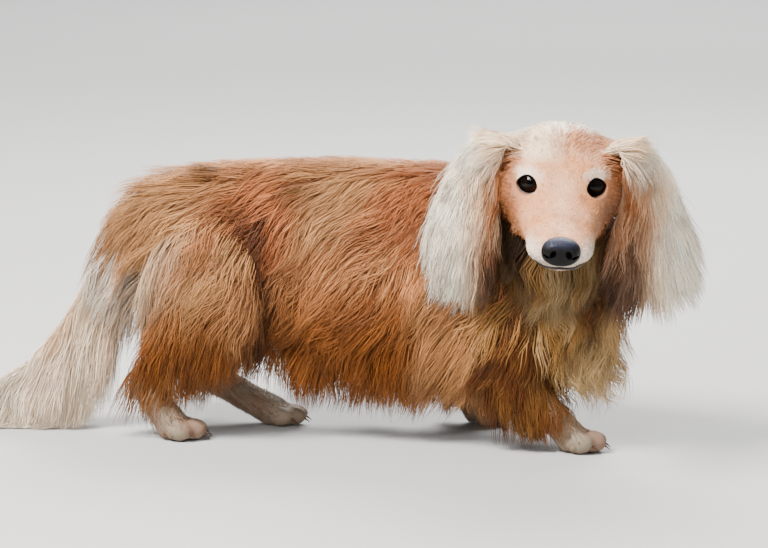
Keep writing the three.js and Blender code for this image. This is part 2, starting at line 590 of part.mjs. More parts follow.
// An earlier part keeps its core and its locks, a later one is cut clear of them, and no lock cuts a core.
const FINEST = 0.05; // detail under this size is smoothed away
const floorBlock = solid(new THREE.BoxGeometry(1200, 1200, 80).translate(0, 0, -40));
const dog = new THREE.Group();
dog.add(body, headFrame);
parts.forEach((part, order) => {
  let core = part.core;
  const fitted = !part.grown; // the eyes and the nose sit in hollows made for them
  if (!fitted) for (const other of parts.slice(0, order)) if (other.grown) core = core.subtract(other.grown);
  let made = core;
  if (part.locks.length) {
    let locks = join(part.locks).subtract(floorBlock);
    parts.forEach((other, rank) => {
      if (other === part) return;
      if (other.grown) locks = locks.subtract(other.grown);
      if (rank < order && other.wideLocks.length) locks = locks.subtract(join(other.wideLocks));
    });
    made = core.add(locks);
  }
  const geometry = geometryOf(largest(made.simplify(FINEST)));
  geometry.applyMatrix4(part.group.matrixWorld.clone().invert());
  const mesh = new THREE.Mesh(geometry, part.material);
  mesh.name = part.name;
  part.group.add(mesh);
});

// The origin lies on the floor, under the middle of the dog's box.
const box = new THREE.Box3().setFromObject(dog, true);
const middle = box.getCenter(new THREE.Vector3());
dog.position.set(-middle.x, -middle.y, -box.min.z);

export default dog;
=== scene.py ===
"""A life-size long-haired dachshund: its skin, coat, eyes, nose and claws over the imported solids."""

from __future__ import annotations

import logging
import math
from dataclasses import dataclass, field
from enum import Enum
from typing import Callable, Iterator, Sequence

import bpy
import numpy as np
from mathutils import Matrix, Vector
from mathutils.bvhtree import BVHTree
from mathutils.kdtree import KDTree

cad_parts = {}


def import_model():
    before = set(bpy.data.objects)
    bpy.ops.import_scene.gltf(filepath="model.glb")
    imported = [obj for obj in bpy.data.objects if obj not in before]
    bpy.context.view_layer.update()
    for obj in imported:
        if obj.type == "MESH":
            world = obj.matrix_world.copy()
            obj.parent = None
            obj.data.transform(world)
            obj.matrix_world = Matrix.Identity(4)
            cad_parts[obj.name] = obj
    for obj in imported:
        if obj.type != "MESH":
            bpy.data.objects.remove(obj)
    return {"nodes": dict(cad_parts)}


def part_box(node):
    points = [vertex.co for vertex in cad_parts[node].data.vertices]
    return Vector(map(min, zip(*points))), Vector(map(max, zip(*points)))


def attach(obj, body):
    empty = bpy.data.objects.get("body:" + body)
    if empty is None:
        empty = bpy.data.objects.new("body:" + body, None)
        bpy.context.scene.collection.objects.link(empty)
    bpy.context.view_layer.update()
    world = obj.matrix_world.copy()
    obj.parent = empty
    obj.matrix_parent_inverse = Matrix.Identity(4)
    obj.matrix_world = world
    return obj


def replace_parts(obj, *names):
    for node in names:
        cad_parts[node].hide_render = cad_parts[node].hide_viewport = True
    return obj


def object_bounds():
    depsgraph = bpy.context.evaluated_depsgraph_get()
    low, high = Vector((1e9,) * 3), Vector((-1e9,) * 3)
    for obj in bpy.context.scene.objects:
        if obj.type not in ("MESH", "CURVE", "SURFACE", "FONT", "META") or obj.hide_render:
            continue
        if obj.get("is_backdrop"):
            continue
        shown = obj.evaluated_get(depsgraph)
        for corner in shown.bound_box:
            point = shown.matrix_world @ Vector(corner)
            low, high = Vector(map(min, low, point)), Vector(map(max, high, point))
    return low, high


log = logging.getLogger("dachshund")
MM = 0.001

# The shape is worked out in millimetres in the dog's own frame: +X forwards, +Y its left, +Z up.
HEAD_AT = np.array([164.3, -138.0, 237.5])
HEAD_TURN, HEAD_NOD, HEAD_TILT = 84.8, 7.0, 2.5
BACK_TOP, CHEST_LOW, CHEST_WIDE = 236.0, 62.0, 64.0
EYE_BALL, EYE_APART = 11.2, 26.6
NOSE_WIDE = 15.5
CAMERA_TURN, CAMERA_RISE, CAMERA_FAR = 8.0, 9.0, 2400.0
CAMERA_AIM = np.array([0.0, 0.0, 140.0])
PIXEL_MM, PHOTO_WIDE, SENSOR = 0.87, 768.0, 36.0
SOLE_AT = 0.4

# How light the markings are: on the body, on the feet and lower legs (kept dark there as painted shade near
# the ground), and on the tail's flag.
BODY_LIGHT, FOOT_LIGHT, LEG_LIGHT, FLAG_LIGHT = 0.76, 0.28, 0.45, 0.9

PIECE_LIMIT, PATCH = 190_000, 0.003

Array = np.ndarray


def unit(v: Array) -> Array:
    """Vectors of length one."""
    return v / (np.linalg.norm(v, axis=-1, keepdims=True) + 1e-9)


def smooth(low: float, high: float, x: Array) -> Array:
    """A soft step from 0 at low to 1 at high."""
    t = np.clip((x - low) / (high - low), 0.0, 1.0)
    return t * t * (3 - 2 * t)


def turn(axis: int, degrees: float) -> Array:
    """A rotation about one axis, as a 3 by 3 matrix.

    Args:
        axis: 0, 1 or 2 for X, Y or Z.
        degrees: the angle.

    Returns:
        A 3 by 3 matrix.
    """
    c, s = math.cos(math.radians(degrees)), math.sin(math.radians(degrees))
    made = np.eye(3)
    i, j = [k for k in range(3) if k != axis]
    if axis == 1:
        s = -s
    made[i, i] = made[j, j] = c
    made[i, j], made[j, i] = -s, s
    return made


HEAD_AXES = turn(2, -HEAD_TURN) @ turn(1, HEAD_NOD) @ turn(0, -HEAD_TILT)


def from_head(p: Array) -> Array:
    """Points of the head's frame (nose, left, up) in the dog's frame."""
    return HEAD_AT + np.asarray(p, float) @ HEAD_AXES.T


def to_head(p: Array) -> Array:
    """Points of the dog's frame in the head's frame."""
    return (np.asarray(p, float) - HEAD_AT) @ HEAD_AXES


def shade(code: str) -> Array:
    """A linear colour from its hexadecimal code."""
    value = np.array([int(code[i : i + 2], 16) / 255 for i in (0, 2, 4)])
    return np.where(value <= 0.04045, value / 12.92, ((value + 0.055) / 1.055) ** 2.4)


class Tone(Enum):
    """Named colours of the dog, and the blue of the nose's painted sheen."""

    RED = "B0663A"
    DEEP = "6E3A1B"
    APRICOT = "D69C66"
    SAND = "C8935F"
    BEIGE = "C79B62"
    CREAM = "F7DDBB"
    WHITE = "FFF2DF"
    GOLD = "B98647"
    STRAW = "E6BE84"
    HONEY = "9A5412"
    UMBER = "452A14"
    SOOT = "120D0C"
    # The blue of the painted sheen on the nose's upper half.
    NOSE_SHEEN = "3C415E"
    FACE = "D08448"
    ROSE = "EDB592"
    BAND = "955428"

    @property
    def rgb(self) -> Array:
        """The colour in linear values."""
        return shade(self.value)


def blend(base: Array, tone: Tone, share: Array) -> Array:
    """Colours moved towards a tone by a share for each point."""
    share = np.clip(share, 0, 1)[:, None]
    return base * (1 - share) + tone.rgb * share


def rows(count: int, *values: Array | float) -> Array:
    """Rows of values, each given as a number or as one value for each row."""
    return np.column_stack([np.broadcast_to(np.asarray(value, float), count) for value in values])


def spline(a: Array, b: Array, c: Array, d: Array, t: Array) -> tuple[Array, Array]:
    """A uniform Catmull-Rom curve from b to c.

    Args:
        a: the key before b.
        b: the key where t is 0.
        c: the key where t is 1.
        d: the key after c.
        t: how far along the piece, from 0 to 1.

    Returns:
        The curve's values and slopes.
    """
    square, cube = 2 * a - 5 * b + 4 * c - d, 3 * b - a - 3 * c + d
    value = 0.5 * (2 * b + (c - a) * t + square * t**2 + cube * t**3)
    slope = 0.5 * ((c - a) + 2 * square * t + 3 * cube * t**2)
    return value, slope


def point_tree(points: Array) -> KDTree:
    """A search tree of points.

    Args:
        points: the points, numbered in order.

    Returns:
        The balanced tree.
    """
    tree = KDTree(len(points))
    for n, p in enumerate(points):
        tree.insert(p, n)
    tree.balance()
    return tree


class Drift:
    """A smooth field of values between about -1 and 1, alike for neighbouring points."""

    def __init__(self, wave: float, seed: int, parts: int = 5) -> None:
        """Draws the waves that make up the field.

        Args:
            wave: the length in millimetres over which the value changes.
            seed: the seed of its draws.
            parts: how many waves are added.
        """
        rng = np.random.default_rng(seed)
        ways = unit(rng.normal(size=(parts, 3)))
        self.turns = ways * (2 * math.pi / (wave * rng.uniform(0.7, 1.6, (parts, 1))))
        self.starts = rng.uniform(0, 2 * math.pi, parts)

    def __call__(self, p: Array) -> Array:
        """The field's values at points."""
        return np.sin(p @ self.turns.T + self.starts).sum(1) / math.sqrt(len(self.starts))


@dataclass
class Stations:
    """A path with half widths and heights at each of its points."""

    at: Sequence[Sequence[float]]
    wide: Sequence[float]
    up: Sequence[float]
    down: Sequence[float]

    def curve(self, count: int) -> tuple[Array, Array, Array]:
        """Places, directions and sizes at even steps, by a uniform Catmull-Rom spline.

        Args:
            count: the number of steps.

        Returns:
            The places, the directions, and rows of half width, up and down.
        """
        keys = np.column_stack([np.asarray(self.at, float), self.wide, self.up, self.down])
        keys = np.vstack([2 * keys[0] - keys[1], keys, 2 * keys[-1] - keys[-2]])
        place = np.linspace(0, len(keys) - 3, count)
        i = np.minimum(place.astype(int), len(keys) - 4)
        t = (place - i)[:, None]
        a, b, c, d = keys[i], keys[i + 1], keys[i + 2], keys[i + 3]
        value, slope = spline(a, b, c, d, t)
        return value[:, :3], unit(slope[:, :3]), value[:, 3:]


@dataclass
class Loft:
    """A smooth body through stations, open as a grid of rings and corners, with domed ends."""

    stations: Stations
    across: Sequence[Sequence[float]] = ((0.0, 1.0, 0.0),)
    square: float = 2.0
    caps: tuple[float, float] = (0.6, 0.6)
    inset: float = 0.0
    sculpt: Callable[[Array], Array] | None = None
    place: Callable[[Array], Array] | None = None
    rings: int = 60
    sides: int = 56
    grid: Array = field(init=False)
    normals: Array = field(init=False)
    along: Array = field(init=False)

    def __post_init__(self) -> None:
        """Works out the grid, its outward normals and the direction of its path."""
        at, ahead, size = self.stations.curve(self.rings)
        size = np.maximum(size - self.inset, 1.0)
        share = np.clip(np.linspace(0, 2, self.rings), 0, 1)[:, None]
        turned = np.asarray(self.across[0]) * (1 - share) + np.asarray(self.across[-1]) * share
        dome = np.sin(np.linspace(0, math.pi / 2, 7)[1:-1])
        rows = [(at[i], ahead[i], size[i], turned[i]) for i in range(self.rings)]
        for sign, end, cap in ((-1, 0, self.caps[0]), (1, -1, self.caps[1])):
            reach = cap * min(size[end][0], (size[end][1] + size[end][2]) / 2)
            step, small = sign * ahead[end] * reach, size[end]
            extra = [
                (at[end] + step * out, ahead[end], small * math.sqrt(1 - out * out), turned[end])
                for out in [*dome, 0.9995]
            ]
            rows = extra[::-1] + rows if sign < 0 else rows + extra
        angle = np.linspace(0, 2 * math.pi, self.sides, endpoint=False)
        c = np.sign(np.cos(angle)) * np.abs(np.cos(angle)) ** (2 / self.square)
        s = np.sign(np.sin(angle)) * np.abs(np.sin(angle)) ** (2 / self.square)
        places, paths = [], []
        for middle, forward, (wide, up, down), side in rows:
            high = unit(np.cross(forward, side))
            flank = np.cross(high, forward)
            out = np.outer(c * wide, flank) + np.outer(s * np.where(s >= 0, up, down), high)
            spot = middle + out
            if self.sculpt:
                spot = spot + unit(out) * self.sculpt(spot)[:, None]
            places.append(spot)
            paths.append(np.tile(forward, (self.sides, 1)))
        grid, along = np.array(places), np.array(paths)
        if self.place:
            origin = self.place(np.zeros(3))
            along = unit(self.place(along.reshape(-1, 3)) - origin).reshape(along.shape)
            grid = self.place(grid.reshape(-1, 3)).reshape(grid.shape)
        self.grid, self.along = grid, along
        down_path = np.gradient(grid, axis=0)
        round_path = np.roll(grid, -1, 1) - np.roll(grid, 1, 1)
        normal = unit(np.cross(round_path, down_path))
        middle = grid.mean(1, keepdims=True)
        if ((grid - middle) * normal).sum() < 0:
            normal = -normal
        self.normals = normal

    def faces(self, start: int) -> list[tuple[int, ...]]:
        """Quads between the rings and a fan on each end, counted from a first vertex.

        Args:
            start: the number of the first vertex.

        Returns:
            The corners of each face, by number.
        """
        count, sides = self.grid.shape[:2]
        made = [
            (start + i * sides + k, start + i * sides + (k + 1) % sides,
             start + (i + 1) * sides + (k + 1) % sides, start + (i + 1) * sides + k)
            for i in range(count - 1) for k in range(sides)
        ]
        made.append(tuple(start + k for k in reversed(range(sides))))
        made.append(tuple(start + (count - 1) * sides + k for k in range(sides)))
        return made


HEAD_FORMS = (
    ((4, 21, 15), (11, 12, 9), 3.0),
    ((6, 30, 0), (11, 9, 11), -3.5),
    ((-22, 48, -12), (24, 14, 16), 3.5),
    ((62, 18, -40), (20, 12, 10), 3.5),
    ((12, 0, 6), (14, 8, 10), -2.5),
    ((34, 20, -14), (22, 9, 12), -2.0),
)


def head_form(p: Array) -> Array:
    """Soft rises and hollows of the head, alike on both sides.

    Args:
        p: points in the head's frame.

    Returns:
        How far each point moves outwards, in millimetres.
    """
    folded = np.column_stack([p[:, 0], np.abs(p[:, 1]), p[:, 2]])
    lift = np.zeros(len(p))
    for at, reach, height in HEAD_FORMS:
        lift += height * np.exp(-(((folded - at) / reach) ** 2).sum(1))
    return lift


def stations(*rows: Sequence[float]) -> Stations:
    """Stations from rows of x, y, z, half width, up and, where it differs, down."""
    down = [r[5] if len(r) > 5 else r[4] for r in rows]
    return Stations([r[:3] for r in rows], [r[3] for r in rows], [r[4] for r in rows], down)


SKULL = stations(
    (-100, 0, -12, 30, 30, 34), (-84, 0, -10, 42, 42), (-60, 0, -8, 48, 47, 48), (-38, 0, -8, 49.5, 45, 50),
    (-18, 0, -10, 47, 37, 47), (0, 0, -15, 41, 27, 40), (20, 0, -24, 34, 22, 30),
    (40, 0, -30, 29, 20, 22), (60, 0, -33, 26, 17), (76, 0, -34, 21, 13, 11),
)
JAW = stations(
    (-30, 0, -34, 36, 18, 24), (0, 0, -38, 30, 14, 17), (30, 0, -41, 23, 12, 13), (56, 0, -44, 18, 9, 9.5),
    (72, 0, -45, 13, 6, 7.5),
)
NOSE = stations(
    (80, 0, -32, NOSE_WIDE - 2, 11, 10.5), (86, 0, -32, NOSE_WIDE, 11.5),
    (91, 0, -33, NOSE_WIDE - 2.5, 9.5, 10),
)
MID, HALF = (CHEST_LOW + BACK_TOP) / 2, (BACK_TOP - CHEST_LOW) / 2
TORSO = stations(
    (-226, -4, 172, 26, 24, 28), (-206, -3, 174, 46, 42, 50), (-165, -1, 172, 57, 60),
    (-112, 0, 166, 56, 72, 66), (-60, 0, 158, 62, 82, 76), (0, -2, MID + 3, CHEST_WIDE + 3, HALF, HALF + 3),
    (55, -6, MID, CHEST_WIDE + 5, HALF, HALF + 2), (96, -12, MID - 4, CHEST_WIDE + 3, HALF - 22, HALF),
    (136, -22, MID - 10, CHEST_WIDE - 4, HALF - 44, HALF - 10),
    (166, -32, MID - 16, CHEST_WIDE - 16, HALF - 52, HALF - 22),
    (186, -38, MID - 22, CHEST_WIDE - 36, HALF - 64, HALF - 40),
)
NECK = stations(
    (96, -12, 172, 52, 50, 66), (122, -26, 190, 50, 48, 72), (146, -50, 206, 48, 46, 74),
    (158, -84, 216, 44, 46, 60),
)
TAIL = stations(
    (-206, -2, 186, 14, 11, 16), (-228, -6, 168, 13, 11, 18), (-250, -12, 132, 13, 11, 20),
    (-274, -18, 92, 12, 10, 22), (-306, -24, 58, 10, 9, 20), (-350, -30, 33, 6, 5, 9),
)
EAR_PATH = ((-42, 34, 20), (-40, 50, 24), (-38, 64, 9), (-37, 73, -18), (-38, 78, -50), (-40, 80, -78))
EAR_WIDE = (17, 20, 24, 30, 33, 24)
EAR_THICK = (5, 5, 5.5, 6, 6, 3)


def ear_stations(side: float) -> Stations:
    """One ear's flap in the head's frame."""
    return stations(*[(x, side * y, z, w, t) for (x, y, z), w, t in zip(EAR_PATH, EAR_WIDE, EAR_THICK)])


@dataclass(frozen=True)
class Leg:
    """A leg's joints, from the shoulder or hip to the toes, and whether it is a foreleg."""

    name: str
    top: tuple[float, float, float]
    knee: tuple[float, float, float]
    ankle: tuple[float, float, float]
    toes: tuple[float, float, float]
    fore: bool = False

    def at(self, a: Sequence[float], b: Sequence[float], t: float) -> list[float]:
        """A point between two of the leg's points."""
        return list(np.asarray(a) * (1 - t) + np.asarray(b) * t)

    @property
    def side(self) -> float:
        """1 on the dog's left and -1 on its right."""
        return math.copysign(1.0, self.top[1])

    def upper(self) -> Stations:
        """The upper arm or thigh.

        Returns:
            Its stations, from the body to the elbow or knee.
        """
        if self.fore:
            return stations(
                (*self.at(self.top, self.knee, -0.15), 26, 30),
                (*self.at(self.top, self.knee, 0.45), 27, 32, 34), (*self.knee, 22, 26, 30),
            )
        return stations(
            (*self.top, 28, 48), (*self.at(self.top, self.knee, 0.5), 29, 50, 56),
            (*self.knee, 21, 30, 42),
        )

    def lower(self) -> Stations:
        """The forearm or shank.

        Returns:
            Its stations, down to the wrist or hock.
        """
        a, b, c = (21, 17, 15) if self.fore else (24, 17, 14)
        return stations(
            (*self.knee, a - 2, a, a + 4), (*self.at(self.knee, self.ankle, 0.5), b, b, b + 5),
            (*self.ankle, c - 1, c, c + 2),
        )

    def paw(self) -> Stations:
        """The foot down to the toes.

        Returns:
            Its stations, down to the toes.
        """
        (ax, ay, az), (tx, ty, _) = self.ankle, self.toes
        return stations(
            (ax, ay, az, 13.5, 15), ((ax + tx) / 2, (ay + ty) / 2, az + (16 - az) * 0.62, 15.5, 14),
            (tx, ty, 13, 17, 13, 17),
        )


LEGS = (
    Leg("fore_right", (140, -56, 118), (112, -64, 82), (146, -56, 36), (170, -56, 12), True),
    Leg("fore_left", (132, 34, 118), (92, 50, 84), (62, 48, 36), (80, 46, 12), True),
    Leg("hind_right", (-166, -40, 170), (-122, -56, 106), (-204, -52, 52), (-176, -54, 12)),
    Leg("hind_left", (-166, 36, 170), (-118, 46, 104), (-162, 24, 42), (-100, 18, 12)),
)
TOES = ((0, -13.5, 8), (9, -5, 10), (9, 5, 10), (0, 13.5, 8))


@dataclass
class Roots:
    """Where tufts start: places in millimetres, normals, ways along the part, spots on the unwrap."""

    at: Array
    out: Array
    along: Array
    spot: Array

    def __len__(self) -> int:
        """How many roots there are."""
        return len(self.at)

    def pick(self, keep: Array) -> Roots:
        """The roots that a mask or index keeps."""
        return Roots(self.at[keep], self.out[keep], self.along[keep], self.spot[keep])


def scatter(loft: Loft, count: int, cell: tuple[float, float, float, float], rng: np.random.Generator,
            density: Callable[[Array, Array], Array] | None = None) -> Roots:
    """Roots spread evenly over a loft.

    Args:
        loft: the body that the tufts grow on.
        count: how many roots to draw.
        cell: the unwrap's rectangle for this part, as left, bottom, width and height.
        rng: the source of the draws.
        density: relative number of roots for a place and its normal.

    Returns:
        The roots, each with its spot in the cell.
    """
    g = loft.grid
    nxt = np.roll(g, -1, 1)
    quad = np.cross(nxt[:-1] - g[:-1], g[1:] - g[:-1])
    area = np.linalg.norm(quad, axis=-1)
    if density:
        weight = density(g[:-1].reshape(-1, 3), loft.normals[:-1].reshape(-1, 3))
        area = area * weight.reshape(area.shape)
    share = (area / area.sum()).ravel()
    pick = rng.choice(len(share), count, p=share)
    i, k = np.divmod(pick, g.shape[1])
    a, b = rng.random(count)[:, None], rng.random(count)[:, None]
    k2 = (k + 1) % g.shape[1]

    def mixed(values: Array) -> Array:
        """The grid's values at the roots, from the four corners round each."""
        near = values[i, k] * (1 - b) + values[i, k2] * b
        return near * (1 - a) + (values[i + 1, k] * (1 - b) + values[i + 1, k2] * b) * a

    left, low, wide, high = cell
    ring, corner = (i + a[:, 0]) / g.shape[0], (k + b[:, 0]) / g.shape[1]
    spot = np.column_stack([left + wide * (0.02 + 0.96 * ring), low + high * (0.02 + 0.96 * corner)])
    return Roots(mixed(g), unit(mixed(loft.normals)), unit(mixed(loft.along)), spot)


@dataclass
class Hair:
    """How a part's hair grows: sizes in millimetres, each a number or one value for each root."""

    long: Array | float
    lie: Array
    wide: float = 1.2
    depth: Array | float = 6.0
    hang: Array | float = 0.2
    wave: Array | float = 3.0
    wave_long: Array | float = 34.0
    clump: float = 0.4
    clump_size: float = 30.0
    rings: int = 5
    stray: float = 0.05


@dataclass
class Coat:
    """Tufts of one part, as closed tapered meshes over the skin.

    The ranges scale a tuft's length, width and depth at random. A root is sunk by so many millimetres,
    floor_gap is the least height and its spread, and the lights and spreads vary a tuft's colour.
    """

    name: str
    roots: Roots
    hair: Hair
    colour: Callable[[Array, Array, Array], Array]
    seed: int
    long_range: tuple[float, float] = (0.72, 1.12)
    wide_range: tuple[float, float] = (0.65, 1.3)
    depth_range: tuple[float, float] = (0.08, 1.0)
    sunk: float = 1.2
    flatness: float = 0.55
    floor_gap: tuple[float, float] = (1.2, 1.5)
    root_light: float = 0.74
    tip_light: float = 0.34
    lock_spread: float = 0.16
    tuft_spread: float = 0.07
    lock: Array = field(init=False)

    def strands(self, skin: BVHTree) -> Array:
        """Lays each tuft along its direction, waved, gathered in locks and clear of the skin.

        Args:
            skin: the skin's faces in millimetres.

        Returns:
            The points of each tuft from root to tip.
        """
        rng = np.random.default_rng(self.seed)
        hair, roots = self.hair, self.roots
        count = len(roots)
        long = np.broadcast_to(np.asarray(hair.long, float), count) * rng.uniform(*self.long_range, count)
        lie = unit(hair.lie - roots.out * np.minimum(0, (hair.lie * roots.out).sum(1))[:, None])
        lie = unit(lie + rng.normal(0, hair.stray, (count, 3)))
        hang = np.broadcast_to(np.asarray(hair.hang, float), count)
        side = unit(np.cross(roots.out, lie))
        phase = Drift(80, self.seed + 1)(roots.at) * 3.0 + rng.normal(0, 0.22, count)
        swing = hair.wave * (0.75 + 0.35 * Drift(45, self.seed + 2)(roots.at))
        step = (long / (hair.rings - 1))[:, None]
        here = roots.at.copy()
        path = [here - roots.out * self.sunk]
        fall = np.array([0.0, 0.0, -1.0])
        for j in range(1, hair.rings):
            t = j / (hair.rings - 1)
            share = (hang * t)[:, None]
            ahead = unit(lie * (1 - share) + fall * share)
            here = here + ahead * step
            bend = swing * np.sin(2 * math.pi * t * long / hair.wave_long + phase) * min(1.0, t * 1.6)
            path.append(here + side * bend[:, None])
        path = np.stack(path, 1)
        path = self.gather(path, rng)
        return self.clear(path, skin, rng)

    def gather(self, path: Array, rng: np.random.Generator) -> Array:
        """Pulls neighbouring tufts together towards their tips, into locks.

        Args:
            path: the points of each tuft.
            rng: the source of the draws.

        Returns:
            The moved points.
        """
        hair = self.hair
        count = len(path)
        guides = rng.permutation(count)[: max(8, int(count / max(hair.clump_size, 1.5)))]
        tree = point_tree(path[guides, 0])
        mine = guides[[tree.find(p)[1] for p in path[:, 0]]]
        t = np.linspace(0, 1, hair.rings)[None, :, None]
        pull = hair.clump * t**0.9
        spread = path[:, :1] - path[mine, :1]
        goal = path[mine] + spread * (1 - 0.75 * t)
        self.lock = mine
        return path * (1 - pull) + goal * pull

    def clear(self, path: Array, skin: BVHTree, rng: np.random.Generator) -> Array:
        """Lifts points to their own height in the coat, and off the floor.

        Args:
            path: the points of each tuft.
            skin: the skin's faces in millimetres.
            rng: the source of the draws.

        Returns:
            The same points, moved.
        """
        count = len(path)
        depth = np.broadcast_to(np.asarray(self.hair.depth, float), count)
        height = depth * rng.uniform(*self.depth_range, count)
        for j in range(1, self.hair.rings):
            t = j / (self.hair.rings - 1)
            need = height * min(1.0, t * 2.2) * (1 - 0.25 * t)
            for n in range(count):
                spot, normal, _, _ = skin.find_nearest(path[n, j])
                gap = (path[n, j, 0] - spot[0]) * normal[0] + (path[n, j, 1] - spot[1]) * normal[1]
                gap += (path[n, j, 2] - spot[2]) * normal[2]
                if gap < need[n]:
                    path[n, j] += np.array(normal) * (need[n] - gap)
        gap, spread = self.floor_gap
        path[..., 2] = np.maximum(path[..., 2], gap + rng.uniform(0, spread, count)[:, None])
        return path

    def build(self, skin: BVHTree, offset: Array, finish: bpy.types.Material) -> list[bpy.types.Object]:
        """Meshes of the coat, split so that none has over 200,000 triangles.

        Args:
            skin: the skin's faces in millimetres.
            offset: the way from the dog's frame to the row frame, in millimetres.
            finish: the coat's material.

        Returns:
            The coat's objects.
        """
        path = self.strands(skin)
        rng = np.random.default_rng(self.seed + 7)
        rings = self.hair.rings
        ahead = unit(np.gradient(path, axis=1))
        face = self.roots.out[:, None] * np.ones((1, rings, 1))
        side = unit(np.cross(ahead, face))
        high = np.cross(side, ahead)
        t = np.linspace(0, 1, rings)[None, :, None]
        full = (1 - t) ** 0.65
        wide = self.hair.wide * rng.uniform(*self.wide_range, (len(path), 1, 1)) * full * 0.5
        corners = np.stack([path + side * wide, path + high * wide * self.flatness, path - side * wide], 2)
        body = corners[:, :-1].reshape(len(path), -1, 3)
        points = np.concatenate([body, path[:, -1:]], 1)
        tint = self.tints(path, rng)
        return self.meshes(points, tint, offset, finish)

    def tints(self, path: Array, rng: np.random.Generator) -> Array:
        """A colour for each ring of each tuft.

        Args:
            path: the points of each tuft.
            rng: the source of the draws.

        Returns:
            A linear colour for each ring of each tuft.
        """
        count, rings = path.shape[:2]
        t = np.linspace(0, 1, rings)
        base = self.colour(self.roots.at, path[:, -1], self.roots.out)
        lock_light = np.random.default_rng(self.seed + 3).normal(0, self.lock_spread, count)[self.lock]
        light = 1 + lock_light + rng.normal(0, self.tuft_spread, count)
        rise = self.root_light + self.tip_light * t**0.8
        made = base[:, None] * light[:, None, None] * rise[None, :, None]
        return np.clip(made, 0.004, 1.0)

    def meshes(self, points: Array, tint: Array, offset: Array,
               finish: bpy.types.Material) -> list[bpy.types.Object]:
        """Turns the tufts' corners into mesh objects, a few thousand tufts in each.

        Args:
            points: the corners of each tuft, in the dog's frame.
            tint: its rings' colours.
            offset: the way to the row frame.
            finish: the coat's material.

        Returns:
            The coat's objects.
        """
        rings = self.hair.rings
        body = (rings - 1) * 3
        tris = [(0, 2, 1)]
        for r in range(rings - 2):
            for k in range(3):
                a, b = r * 3 + k, r * 3 + (k + 1) % 3
                tris += [(a, b, b + 3), (a, b + 3, a + 3)]
        last = (rings - 2) * 3
        tris += [(last + k, last + (k + 1) % 3, body) for k in range(3)]
        pattern = np.array(tris)
        per = body + 1
        uv_v = np.append(np.repeat(np.linspace(-0.5, 0.4, rings - 1), 3), 0.5) * PATCH
        uv_u = np.append(np.tile([-0.5, 0, 0.5], rings - 1), 0) * PATCH
        limit = PIECE_LIMIT // len(pattern)
        order = np.argsort(self.roots.at[:, 0])
        made = []
        for n, chunk in enumerate(np.array_split(order, max(1, math.ceil(len(order) / limit)))):
            verts = (points[chunk].reshape(-1, 3) + offset) * MM
            faces = (pattern[None] + (np.arange(len(chunk)) * per)[:, None, None]).reshape(-1, 3)
            colours = np.concatenate([np.repeat(tint[chunk, :-1], 3, axis=1), tint[chunk, -1:]], 1)
            spots = self.roots.spot[chunk][:, None] + np.column_stack([uv_u, uv_v])[None]
            name = f"coat_{self.name}_{n + 1}"
            obj = mesh_object(name, verts, faces, finish)
            paint(obj, colours.reshape(-1, 3))
            layer = obj.data.uv_layers.new(name="OFBake")
            layer.data.foreach_set("uv", spots.reshape(-1, 2)[faces.ravel()].ravel())
            made.append(obj)
        return made


def mesh_object(name: str, verts: Array, faces: Array, finish: bpy.types.Material) -> bpy.types.Object:
    """A mesh of triangles as an object of the scene, smooth and with one material.

    Args:
        name: the object's and mesh's name.
        verts: the corners in the row frame, in metres.
        faces: three corners for each triangle, by number.
        finish: the material.

    Returns:
        The object.
    """
    mesh = bpy.data.meshes.new(name)
    mesh.vertices.add(len(verts))
    mesh.vertices.foreach_set("co", verts.ravel())
    mesh.loops.add(faces.size)
    mesh.loops.foreach_set("vertex_index", faces.ravel())
    mesh.polygons.add(len(faces))
    mesh.polygons.foreach_set("loop_start", np.arange(0, faces.size, 3))
    mesh.polygons.foreach_set("use_smooth", np.ones(len(faces), bool))
    mesh.update(calc_edges=True)
    mesh.materials.append(finish)
    obj = bpy.data.objects.new(name, mesh)
    bpy.context.scene.collection.objects.link(obj)
    return obj


def paint(obj: bpy.types.Object, colours: Array) -> None:
    """Stores one colour for each vertex in the attribute that the finishes read.

    Args:
        obj: the object.
        colours: a linear colour for each vertex.
    """
    layer = obj.data.color_attributes.new("Coat", "FLOAT_COLOR", "POINT")
    rgba = np.column_stack([colours, np.ones(len(colours))])
    layer.data.foreach_set("color", rgba.ravel())


def solid(name: str, points: Array, faces: Sequence[tuple[int, ...]], offset: Array) -> bpy.types.Object:
    """An object of the scene from faces of any number of corners.

    Args:
        name: the object's and mesh's name.
        points: the corners in the dog's frame, in millimetres.
        faces: each face's corners, by number.
        offset: the way to the row frame.

    Returns:
        The object, without a finish.
    """
    mesh = bpy.data.meshes.new(name)
    mesh.from_pydata((points + offset) * MM, [], faces)
    obj = bpy.data.objects.new(name, mesh)
    bpy.context.scene.collection.objects.link(obj)
    return obj


def points_of(obj: bpy.types.Object, offset: Array) -> Array:
    """An object's vertices.

    Args:
        obj: the object, in the row frame.
        offset: the way from the dog's frame to the row frame.

    Returns:
        The vertices in the dog's frame, in millimetres.
    """
    verts = np.empty(len(obj.data.vertices) * 3)
    obj.data.vertices.foreach_get("co", verts)
    return verts.reshape(-1, 3) / MM - offset


def dress(obj: bpy.types.Object, finish: bpy.types.Material) -> None:
    """Smooths an object's shading and gives it one finish.

    Args:
        obj: the object.
        finish: its material.
    """
    select_only(obj)
    bpy.ops.object.shade_smooth()
    obj.data.materials.clear()
    obj.data.materials.append(finish)


def head_place(at: Sequence[float], offset: Array) -> Matrix:
    """The way from a frame like the head's, with its origin at a point of the head, to the row frame."""
    return Matrix.Translation((from_head(np.array(at)) + offset) * MM) @ Matrix(HEAD_AXES.tolist()).to_4x4()


def select_only(obj: bpy.types.Object) -> None:
    """Makes one object the only selected and active one.

    Args:
        obj: the object.
    """
    bpy.ops.object.select_all(action="DESELECT")
    obj.select_set(True)
    bpy.context.view_layer.objects.active = obj


